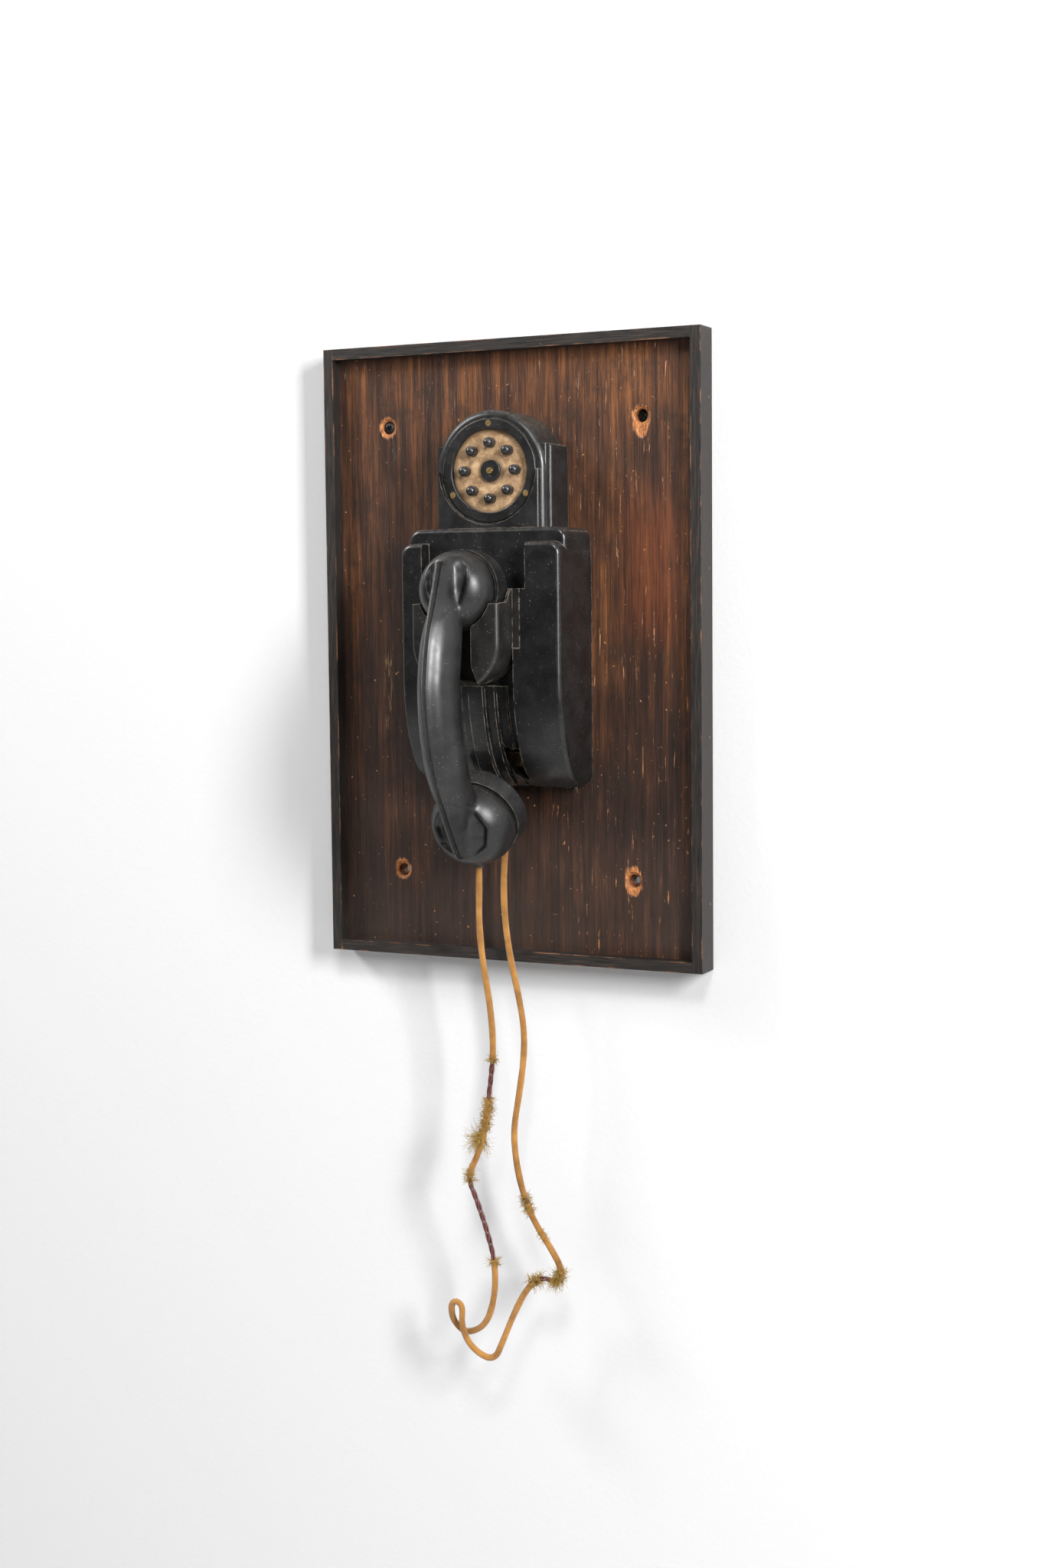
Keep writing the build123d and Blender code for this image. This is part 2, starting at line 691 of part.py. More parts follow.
pin_r = 1.2
pin_hole_r = 1.28
hub_screw_r = 1.5
ring_screw_hole_r = 1.1
boss_r = 5.0
with BuildPart() as selector_frame:
    with BuildSketch(front_plane(disc_back, 0.0, dial_z)):
        Circle(frame_r)
    extrude(amount=face_back - disc_back)
    with BuildSketch(front_plane(disc_front, 0.0, dial_z)):
        Circle(32.0)
        Circle(boss_r, mode=Mode.SUBTRACT)
    extrude(amount=20.0, mode=Mode.SUBTRACT)
    with BuildSketch(front_plane(panel_t)):
        with Locations(*leg_points):
            Circle(leg_r)
    extrude(amount=disc_back - panel_t)
    with BuildSketch(front_plane(disc_back)):
        with Locations(*key_points):
            Circle(pin_hole_r)
    extrude(amount=3.0, mode=Mode.SUBTRACT)
    with BuildSketch(front_plane(38.0, 0.0, dial_z)):
        Circle(hub_screw_r)
    extrude(amount=6.0, mode=Mode.SUBTRACT)
    with BuildSketch(front_plane(38.0)):
        with Locations(*ring_screw_points):
            Circle(ring_screw_hole_r)
    extrude(amount=6.0, mode=Mode.SUBTRACT)
    with BuildSketch(front_plane(panel_t)):
        with Locations(*leg_points):
            Circle(base_screw_r)
    extrude(amount=8.0, mode=Mode.SUBTRACT)
selector_frame.part.label = "selector_frame"
export_step(selector_frame.part, "parts/selector_frame.step")

with BuildPart() as frame_studs:
    with BuildSketch(front_plane(panel_t - base_screw_bite)):
        with Locations(*leg_points):
            Circle(base_screw_r)
    extrude(amount=base_screw_bite + 8.0)
frame_studs.part.label = "frame_studs"
export_step(frame_studs.part, "parts/frame_studs.step")

with BuildPart() as face_plate:
    with BuildSketch(front_plane(face_back, 0.0, dial_z)):
        Circle(face_r)
        Circle(hub_screw_r, mode=Mode.SUBTRACT)
    extrude(amount=face_front - face_back)
    with BuildSketch(front_plane(face_back)):
        with Locations(*key_points):
            Circle(key_r + 0.08)
        with Locations(*ring_screw_points):
            Circle(ring_screw_hole_r)
    extrude(amount=face_front - face_back, mode=Mode.SUBTRACT)
face_plate.part.label = "face_plate"
export_step(face_plate.part, "parts/face_plate.step")

screw_head_r = 2.2
with BuildPart() as bezel_ring:
    with BuildSketch(front_plane(face_front, 0.0, dial_z)):
        Circle(ring_r)
        Circle(ring_inner_r, mode=Mode.SUBTRACT)
    extrude(amount=ring_front - face_front)
    ring_edges = bezel_ring.edges().filter_by(GeomType.CIRCLE).group_by(Axis.Y)[0]
    fillet(ring_edges, 0.8)
    with BuildSketch(front_plane(face_front)):
        with Locations(*ring_screw_points):
            Circle(ring_screw_hole_r)
    extrude(amount=ring_front - face_front, mode=Mode.SUBTRACT)
    with BuildSketch(front_plane(ring_front - 1.0)):
        with Locations(*ring_screw_points):
            Circle(screw_head_r)
    extrude(amount=1.5, mode=Mode.SUBTRACT)
bezel_ring.part.label = "bezel_ring"
export_step(bezel_ring.part, "parts/bezel_ring.step")

with BuildPart() as bezel_screws:
    with BuildSketch(front_plane(38.0)):
        with Locations(*ring_screw_points):
            Circle(ring_screw_hole_r)
    extrude(amount=ring_front - 1.0 - 38.0)
    with BuildSketch(front_plane(ring_front - 1.0)):
        with Locations(*ring_screw_points):
            Circle(screw_head_r)
    extrude(amount=1.3, taper=8)
    with BuildSketch(front_plane(ring_front - 0.3)):
        with Locations(
            *[Location((x, z, 0), (0, 0, 25.0 + 50.0 * i)) for i, (x, z) in enumerate(ring_screw_points)]
        ):
            Rectangle(6.0, 0.7)
    extrude(amount=2.0, mode=Mode.SUBTRACT)
bezel_screws.part.label = "bezel_screws"
export_step(bezel_screws.part, "parts/bezel_screws.step")

hub_front = face_front + 2.2
with BuildPart() as hub_disc:
    with BuildSketch(front_plane(face_front, 0.0, dial_z)):
        Circle(7.8)
    extrude(amount=hub_front - face_front)
    hub_edges = hub_disc.edges().group_by(Axis.Y)[0]
    fillet(hub_edges, 0.7)
    with BuildSketch(front_plane(face_front, 0.0, dial_z)):
        Circle(hub_screw_r)
    extrude(amount=5.0, mode=Mode.SUBTRACT)
hub_disc.part.label = "hub_disc"
export_step(hub_disc.part, "parts/hub_disc.step")

with BuildPart() as hub_screw:
    with BuildSketch(front_plane(38.0, 0.0, dial_z)):
        Circle(hub_screw_r)
    extrude(amount=hub_front - 38.0)
    with BuildSketch(front_plane(hub_front, 0.0, dial_z)):
        Circle(2.5)
    extrude(amount=1.5, taper=12)
    with BuildSketch(front_plane(hub_front + 0.6, 0.0, dial_z)):
        Rectangle(7.0, 0.8, rotation=35)
    extrude(amount=2.0, mode=Mode.SUBTRACT)
hub_screw.part.label = "hub_screw"
export_step(hub_screw.part, "parts/hub_screw.step")

# A key is a turned piece: pin, flange, barrel and a domed head
flange_r = 4.8
flange_back, flange_front = 41.4, 43.2
pin_back = 27.0
dome_start = 49.3
for index, (key_x, key_z) in enumerate(key_points, start=1):
    with BuildPart() as key:
        with BuildSketch(Plane(origin=(key_x, 0.0, key_z), x_dir=(1, 0, 0), z_dir=(0, 0, 1))):
            with BuildLine():
                Polyline(
                    (0.0, -pin_back), (pin_r, -pin_back), (pin_r, -flange_back), (flange_r, -flange_back),
                    (flange_r, -flange_front), (key_r, -flange_front), (key_r, -dome_start),
                )
                dome = JernArc((key_r, -dome_start), (0, -1), key_r, -90)
                Polyline(dome @ 1, (0.0, -pin_back))
            make_face()
        revolve(axis=Axis((key_x, 0.0, key_z), (0, 1, 0)))
    key.part.label = f"key_{index}"
    export_step(key.part, f"parts/key_{index}.step")

    spring = coil_spring(
        front_plane(disc_front, key_x, key_z), flange_back - disc_front - 0.2, 3.3, 0.3, 5
    )
    spring.label = f"key_spring_{index}"
    export_step(spring, f"parts/key_spring_{index}.step")

contact_back, contact_front = 17.0, 19.0
with BuildPart() as contact_board:
    with BuildSketch(front_plane(contact_back, 0.0, dial_z)):
        Circle(39.3)
        Circle(10.0, mode=Mode.SUBTRACT)
    extrude(amount=contact_front - contact_back)
    with BuildSketch(front_plane(contact_back)):
        with Locations(*leg_points):
            Circle(leg_r)
    extrude(amount=contact_front - contact_back, mode=Mode.SUBTRACT)
contact_board.part.label = "contact_board"
export_step(contact_board.part, "parts/contact_board.step")

with BuildPart() as key_contacts:
    for angle in key_angles:
        with BuildSketch(front_plane(contact_front, 0.0, dial_z)):
            with Locations(Location((0, 0, 0), (0, 0, angle))):
                with Locations((14.0, 0.0)):
                    Rectangle(5.0, 3.0)
        extrude(amount=3.6)
        with BuildSketch(front_plane(contact_front + 3.0, 0.0, dial_z)):
            with Locations(Location((0, 0, 0), (0, 0, angle))):
                with Locations((18.0, 0.0)):
                    Rectangle(10.0, 2.4)
        extrude(amount=0.6)
key_contacts.part.label = "key_contacts"
export_step(key_contacts.part, "parts/key_contacts.step")

# ---------------------------------------------------------------- handset
ear_wall = 2.0
ear_neck_r = ear_cap_r - ear_wall
ear_neck_inner_r = 24.8
ear_neck_back = 78.0
ear_floor = 98.0
ear_bell = (
    (27.9, 84.7), (28.6, 92.0), (27.5, 98.0), (23.0, 106.0), (13.0, 111.5), (0.0, 113.0),
)
mouth_wall = 2.2
mouth_neck_r = mouth_rim_r - mouth_wall
mouth_neck_inner_r = 28.0
mouth_bell = (
    (31.5, 0.0), (32.3, 8.0), (30.0, 16.0), (24.0, 25.0), (12.0, 31.5), (0.0, 33.0),
)
# Handle sections: height, depth of the keel, back depth, half width
handle_sections = (
    (66.0, 122.5, 100.0, 8.0),
    (50.0, 128.0, 96.0, 15.5),
    (30.0, 136.0, 98.0, 15.5),
    (10.0, 142.3, 102.0, 14.6),
    (-20.0, 147.4, 107.0, 14.8),
    (-50.0, 145.0, 105.0, 15.2),
    (-80.0, 136.6, 97.0, 15.8),
    (-106.0, 123.2, 84.0, 17.0),
    (-128.0, 109.5, 74.0, 17.0),
    (-144.0, 97.0, 70.0, 8.0),
)
# Sharp keel down the middle of the handle's front
keel_half = 1.1
keel_root_half = 4.0
keel_high = 6.5


def handle_section(height, front, back, half):
    """Handle cross-section: a sharp keel in front, sloping shoulders and a rounded back."""
    shoulder = front - keel_high - 0.30 * (front - back - keel_high)
    with BuildSketch(Plane.XY.offset(height)) as section:
        with BuildLine():
            Polyline(
                (recess_x - half, -shoulder), (recess_x - keel_root_half, -front + keel_high),
                (recess_x - keel_half, -front), (recess_x + keel_half, -front),
                (recess_x + keel_root_half, -front + keel_high), (recess_x + half, -shoulder),
            )
            ThreePointArc((recess_x + half, -shoulder), (recess_x, -back), (recess_x - half, -shoulder))
        make_face()
    return section.sketch


# The mouth end faces up and towards the wall; its plane's normal points out of the mouth
mouth_plane = Plane(
    origin=(recess_x, -mouth_rim_depth, mouth_rim_z),
    x_dir=(1, 0, 0),
    z_dir=(0, cos(radians(mouth_tilt)), sin(radians(mouth_tilt))),
)
mouth_axis_sketch = Plane(origin=mouth_plane.origin, x_dir=(1, 0, 0), z_dir=mouth_plane.y_dir)
mouth_axis = Axis(mouth_plane.origin, mouth_plane.z_dir)
ear_sketch = Plane(origin=(recess_x, 0.0, ear_z), x_dir=(1, 0, 0), z_dir=(0, 0, 1))
ear_axis = Axis((recess_x, 0.0, ear_z), (0, 1, 0))
bush_top = -147.0

with BuildPart() as handset_body:
    loft([handle_section(*section) for section in handle_sections])
    with BuildSketch(ear_sketch):
        with BuildLine():
            Spline(*[(r, -d) for r, d in ear_bell], tangents=((0.12, -1.0), (-1.0, 0.0)))
            Polyline((0.0, -ear_bell[-1][1]), (0.0, -ear_rim), (ear_rim_r, -ear_rim))
        make_face()
    revolve(axis=ear_axis)
    with BuildSketch(mouth_axis_sketch):
        with BuildLine():
            Spline(*[(r, s) for r, s in mouth_bell], tangents=((0.12, 1.0), (-1.0, 0.0)))
            Polyline((0.0, mouth_bell[-1][1]), (0.0, 0.0), (mouth_rim_r, 0.0))
        make_face()
    revolve(axis=mouth_axis)
    # threaded necks that carry the caps
    with BuildSketch(front_plane(ear_neck_back, recess_x, ear_z)):
        Circle(ear_neck_r)
    extrude(amount=ear_rim - ear_neck_back)
    with BuildSketch(front_plane(ear_neck_back, recess_x, ear_z)):
        Circle(ear_neck_inner_r)
    extrude(amount=ear_floor - ear_neck_back, mode=Mode.SUBTRACT)
    with BuildSketch(mouth_plane.offset(7.0)):
        Circle(mouth_neck_r)
    extrude(amount=-7.0)
    with BuildSketch(mouth_plane.offset(7.0)):
        Circle(mouth_neck_inner_r)
    extrude(amount=-16.0, mode=Mode.SUBTRACT)
    with BuildSketch(Plane.XY.offset(bush_top)):
        with Locations(handset_bush_at):
            Circle(4.5)
    extrude(amount=-12.0, mode=Mode.SUBTRACT)
handset_body.part.label = "handset_body"
export_step(handset_body.part, "parts/handset_body.step")

with BuildPart() as receiver_cap:
    with BuildSketch(front_plane(ear_cap_back, recess_x, ear_z)):
        Circle(ear_cap_r)
    extrude(amount=ear_rim - 0.2 - ear_cap_back)
    cap_edges = receiver_cap.edges().group_by(Axis.Y)[-1]
    fillet(cap_edges, 1.8)
    with BuildSketch(front_plane(ear_cap_back + 3.0, recess_x, ear_z)):
        Circle(ear_neck_r)
    extrude(amount=20.0, mode=Mode.SUBTRACT)
    with BuildSketch(front_plane(ear_cap_back - 1.0, recess_x, ear_z)):
        Circle(1.8)
        with PolarLocations(7.0, 6):
            Circle(1.8)
    extrude(amount=6.0, mode=Mode.SUBTRACT)
receiver_cap.part.label = "receiver_cap"
export_step(receiver_cap.part, "parts/receiver_cap.step")

with BuildPart() as receiver_capsule:
    with BuildSketch(front_plane(72.0, recess_x, ear_z)):
        Circle(24.3)
    extrude(amount=14.0)
    with BuildSketch(front_plane(86.0, recess_x, ear_z)):
        Circle(15.0)
    extrude(amount=6.0)
    capsule_edges = receiver_capsule.edges().group_by(Axis.Y)[-1]
    fillet(capsule_edges, 1.5)
receiver_capsule.part.label = "receiver_capsule"
export_step(receiver_capsule.part, "parts/receiver_capsule.step")

with BuildPart() as transmitter_cap:
    with BuildSketch(mouth_plane.offset(0.2)):
        Circle(mouth_rim_r + 0.3)
    with BuildSketch(mouth_plane.offset(mouth_cap_len - 1.5)):
        Circle(mouth_cap_r)
    loft()
    with BuildSketch(mouth_plane.offset(mouth_cap_len - 1.5)):
        Circle(mouth_cap_r)
    extrude(amount=1.5)
    cap_edges = transmitter_cap.edges().filter_by(
        lambda e: mouth_plane.to_local_coords(e.center()).Z > mouth_cap_len - 0.1
    )
    fillet(cap_edges, 1.2)
    with BuildSketch(mouth_plane.offset(mouth_cap_len - 2.5)):
        Circle(mouth_neck_r)
    extrude(amount=-20.0, mode=Mode.SUBTRACT)
    with BuildSketch(mouth_plane.offset(mouth_cap_len + 1.0)):
        Circle(1.6)
        with PolarLocations(6.5, 6):
            Circle(1.6)
        with PolarLocations(13.0, 12):
            Circle(1.6)
    extrude(amount=-6.0, mode=Mode.SUBTRACT)
transmitter_cap.part.label = "transmitter_cap"
export_step(transmitter_cap.part, "parts/transmitter_cap.step")

with BuildPart() as transmitter_capsule:
    with BuildSketch(mouth_plane.offset(mouth_cap_len - 3.0)):
        Circle(27.0)
    extrude(amount=-10.0)
    with BuildSketch(mouth_plane.offset(mouth_cap_len - 13.0)):
        Circle(18.0)
    extrude(amount=-9.0)
transmitter_capsule.part.label = "transmitter_capsule"
export_step(transmitter_capsule.part, "parts/transmitter_capsule.step")

with BuildPart() as handset_bush:
    with BuildSketch(Plane.XY.offset(bush_top)):
        with Locations(handset_bush_at):
            Circle(4.5)
    extrude(amount=-5.0)
    with BuildSketch(Plane.XY.offset(bush_top - 5.0)):
        with Locations(handset_bush_at):
            Circle(4.5)
    extrude(amount=handset_bush_low - bush_top + 5.0, taper=8)
handset_bush.part.label = "handset_bush"
export_step(handset_bush.part, "parts/handset_bush.step")

# ---------------------------------------------------------------- cord
# Route from the bush under the mouth end, down to the loop, and back up to the case's bush
cord_points = (
    (-6.0, -60.0, -154.0), (-6.0, -60.0, -170.0), (-7.9, -57.5, -196.0), (-5.8, -55.8, -226.0),
    (-0.5, -54.4, -259.0), (0.9, -53.2, -290.0), (-3.2, -52.0, -318.0), (-7.0, -51.0, -345.0),
    (-14.0, -50.0, -369.0), (-24.5, -48.5, -388.0), (-17.5, -47.5, -405.0), (-9.6, -46.5, -428.0),
    (-4.0, -45.0, -452.0), (-4.8, -43.8, -477.0), (-12.5, -43.0, -501.0), (-30.0, -42.0, -510.5),
    (-41.2, -43.0, -501.5), (-41.8, -44.6, -488.0), (-36.0, -46.0, -484.4), (-30.2, -47.2, -488.0),
    (-31.5, -48.0, -503.0), (-24.5, -45.0, -520.0), (-7.5, -41.5, -529.0), (-0.5, -39.5, -512.0),
    (7.8, -38.0, -491.0),
    (18.5, -36.8, -470.0), (30.5, -36.0, -460.5), (42.5, -35.5, -464.5), (46.5, -35.0, -453.5),
    (36.5, -34.5, -438.0), (22.5, -33.8, -419.5), (14.0, -33.0, -401.0), (8.2, -32.4, -378.0),
    (5.8, -31.9, -354.0), (10.5, -31.2, -327.0), (14.5, -30.6, -300.0), (14.8, -30.1, -276.0),
    (9.5, -29.7, -249.0), (3.0, -29.3, -223.0), (-1.0, -29.0, -195.0), (-2.2, -28.0, -168.0),
    (-1.5, -25.0, -141.0), (-2.0, -20.0, -117.0), (-2.0, -20.0, -101.0),
)
corner_vectors = [Vector(*point) for point in cord_points]
run_vectors = [after - before for before, after in zip(corner_vectors, corner_vectors[1:])]
bend_radii = []
for before, after in zip(run_vectors, run_vectors[1:]):
    half_turn = radians(before.get_angle(after)) / 2
    bend_radii.append(0.45 * min(before.length, after.length) / tan(half_turn))

with BuildPart() as handset_cord:
    with BuildLine() as cord_line:
        FilletPolyline(*cord_points, radius=bend_radii)
    with BuildSketch(Plane(origin=cord_line.line @ 0, z_dir=cord_line.line % 0)):
        Circle(cord_r)
    sweep(path=cord_line.line, is_frenet=False)
handset_cord.part.label = "handset_cord"
export_step(handset_cord.part, "parts/handset_cord.step")
cord_length = sum(edge.length for edge in cord_line.line.edges())
print("handset_cord bend radii", [round(r, 1) for r in bend_radii])
print("handset_cord length", round(cord_length, 1))
cord_tube = pi * cord_r**2 * cord_length
print("handset_cord volume", round(handset_cord.part.volume, 1), "against", round(cord_tube, 1))
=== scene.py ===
import math

import bmesh
import bpy
import numpy as np
from mathutils import Matrix, Vector
from mathutils.kdtree import KDTree


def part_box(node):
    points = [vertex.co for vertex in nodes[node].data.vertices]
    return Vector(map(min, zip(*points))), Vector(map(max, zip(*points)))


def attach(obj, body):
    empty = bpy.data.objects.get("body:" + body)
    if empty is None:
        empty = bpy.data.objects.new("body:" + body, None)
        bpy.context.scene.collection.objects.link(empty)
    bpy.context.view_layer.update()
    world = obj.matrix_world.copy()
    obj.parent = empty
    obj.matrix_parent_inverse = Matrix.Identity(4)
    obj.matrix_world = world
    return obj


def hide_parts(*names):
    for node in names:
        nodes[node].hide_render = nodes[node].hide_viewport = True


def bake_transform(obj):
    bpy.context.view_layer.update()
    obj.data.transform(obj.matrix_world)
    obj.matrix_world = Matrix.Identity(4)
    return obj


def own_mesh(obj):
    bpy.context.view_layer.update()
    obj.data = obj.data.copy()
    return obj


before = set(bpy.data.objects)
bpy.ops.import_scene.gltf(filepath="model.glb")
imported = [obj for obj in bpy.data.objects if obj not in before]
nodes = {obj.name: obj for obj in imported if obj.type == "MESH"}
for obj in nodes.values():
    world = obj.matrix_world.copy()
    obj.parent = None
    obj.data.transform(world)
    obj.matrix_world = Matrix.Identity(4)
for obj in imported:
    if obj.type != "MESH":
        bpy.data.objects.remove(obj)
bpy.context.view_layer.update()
MM = 0.001


# ---------------------------------------------------------------- camera
def set_camera():
    yaw, pitch, roll = (math.radians(a) for a in (25.82, 4.78, -0.57))
    forward = Vector((-math.sin(yaw) * math.cos(pitch), math.cos(yaw) * math.cos(pitch), -math.sin(pitch)))
    side = Vector((math.cos(yaw), math.sin(yaw), 0.0))
    up = side.cross(forward)
    right = side * math.cos(roll) + up * math.sin(roll)
    top = up * math.cos(roll) - side * math.sin(roll)
    data = bpy.data.cameras.new("photo_camera")
    data.lens = 49.99
    data.sensor_width = 36.0
    data.clip_end = 50.0
    camera = bpy.data.objects.new("photo_camera", data)
    matrix = Matrix((right, top, -forward)).transposed().to_4x4()
    matrix.translation = Vector((0.707, -1.4596, 0.0374))
    camera.matrix_world = matrix
    bpy.context.scene.collection.objects.link(camera)
    bpy.context.scene.camera = camera


set_camera()


# ---------------------------------------------------------------- node material helpers
class Shade:
    """A node material under construction. Lengths in it are millimetres of the object."""

    def __init__(self, name):
        self.material = bpy.data.materials.new(name)
        self.material.use_nodes = True
        self.tree = self.material.node_tree
        self.surface = self.tree.nodes["Principled BSDF"]
        coords = self.tree.nodes.new("ShaderNodeTexCoord")
        scaled = self.tree.nodes.new("ShaderNodeVectorMath")
        scaled.operation = "SCALE"
        scaled.inputs["Scale"].default_value = 1000.0
        self.tree.links.new(coords.outputs["Object"], scaled.inputs[0])
        self.place = scaled.outputs[0]
        self.uv = coords.outputs["UV"]

    def put(self, socket, value):
        if isinstance(value, bpy.types.NodeSocket):
            self.tree.links.new(value, socket)
        else:
            socket.default_value = value

    def math(self, operation, a, b=0.0, clamp=False):
        node = self.tree.nodes.new("ShaderNodeMath")
        node.operation = operation
        node.use_clamp = clamp
        self.put(node.inputs[0], a)
        self.put(node.inputs[1], b)
        return node.outputs[0]

    def stretch(self, x, y, z, source=None):
        """The object's position with each axis scaled, so that noise on it stretches."""
        node = self.tree.nodes.new("ShaderNodeVectorMath")
        node.operation = "MULTIPLY"
        self.put(node.inputs[0], source or self.place)
        node.inputs[1].default_value = (x, y, z)
        return node.outputs[0]

    def noise(self, scale, detail=3.0, rough=0.55, source=None, warp=0.0):
        node = self.tree.nodes.new("ShaderNodeTexNoise")
        self.put(node.inputs["Vector"], source or self.place)
        node.inputs["Scale"].default_value = scale
        node.inputs["Detail"].default_value = detail
        node.inputs["Roughness"].default_value = rough
        node.inputs["Distortion"].default_value = warp
        return node.outputs["Fac"]

    def cells(self, scale, source=None):
        node = self.tree.nodes.new("ShaderNodeTexVoronoi")
        self.put(node.inputs["Vector"], source or self.place)
        node.inputs["Scale"].default_value = scale
        return node.outputs["Distance"]

    def step(self, value, low, high, out_low=0.0, out_high=1.0):
        node = self.tree.nodes.new("ShaderNodeMapRange")
        node.interpolation_type = "SMOOTHSTEP"
        self.put(node.inputs["Value"], value)
        node.inputs["From Min"].default_value = low
        node.inputs["From Max"].default_value = high
        node.inputs["To Min"].default_value = out_low
        node.inputs["To Max"].default_value = out_high
        return node.outputs["Result"]

    def ramp(self, value, *stops):
        node = self.tree.nodes.new("ShaderNodeValToRGB")
        band = node.color_ramp
        while len(band.elements) < len(stops):
            band.elements.new(0.5)
        for element, (place, color) in zip(band.elements, stops):
            element.position = place
            element.color = (*color, 1.0)
        self.put(node.inputs["Fac"], value)
        return node.outputs["Color"]

    def mix(self, amount, a, b):
        node = self.tree.nodes.new("ShaderNodeMix")
        node.data_type = "RGBA"
        self.put(node.inputs["Factor"], amount)
        self.put(node.inputs["A"], (*a, 1.0) if isinstance(a, tuple) else a)
        self.put(node.inputs["B"], (*b, 1.0) if isinstance(b, tuple) else b)
        return node.outputs["Result"]

    def axis(self, letter, source=None):
        node = self.tree.nodes.new("ShaderNodeSeparateXYZ")
        self.put(node.inputs[0], source or self.place)
        return node.outputs[letter]

    def facing(self, letter):
        geometry = self.tree.nodes.new("ShaderNodeNewGeometry")
        return self.axis(letter, geometry.outputs["Normal"])

    def edge(self, radius):
        """1 on sharp edges, 0 on open faces: how far a rounded normal leans from the true one."""
        bevel = self.tree.nodes.new("ShaderNodeBevel")
        bevel.samples = 4
        bevel.inputs["Radius"].default_value = radius * MM
        geometry = self.tree.nodes.new("ShaderNodeNewGeometry")
        dot = self.tree.nodes.new("ShaderNodeVectorMath")
        dot.operation = "DOT_PRODUCT"
        self.tree.links.new(bevel.outputs[0], dot.inputs[0])
        self.tree.links.new(geometry.outputs["Normal"], dot.inputs[1])
        return self.step(dot.outputs["Value"], 0.997, 0.86)

    def bump(self, height, distance, strength=1.0, under=None):
        node = self.tree.nodes.new("ShaderNodeBump")
        node.inputs["Strength"].default_value = strength
        node.inputs["Distance"].default_value = distance * MM
        self.put(node.inputs["Height"], height)
        if under is not None:
            self.put(node.inputs["Normal"], under)
        return node.outputs["Normal"]

    def finish(self, color, rough, normal=None, metallic=0.0, specular=0.5):
        self.put(self.surface.inputs["Base Color"], color)
        self.put(self.surface.inputs["Roughness"], rough)
        self.surface.inputs["Metallic"].default_value = metallic
        self.surface.inputs["Specular IOR Level"].default_value = specular
        if normal is not None:
            self.put(self.surface.inputs["Normal"], normal)
        return self.material


def add(sh, *values):
    total = values[0]
    for value in values[1:]:
        total = sh.math("ADD", total, value)
    return total


def times(sh, *values):
    total = values[0]
    for value in values[1:]:
        total = sh.math("MULTIPLY", total, value)
    return total


# ---------------------------------------------------------------- wood
HOLES = ((-103.0, 169.0), (103.0, 169.0), (-95.5, -165.5), (95.5, -165.5))


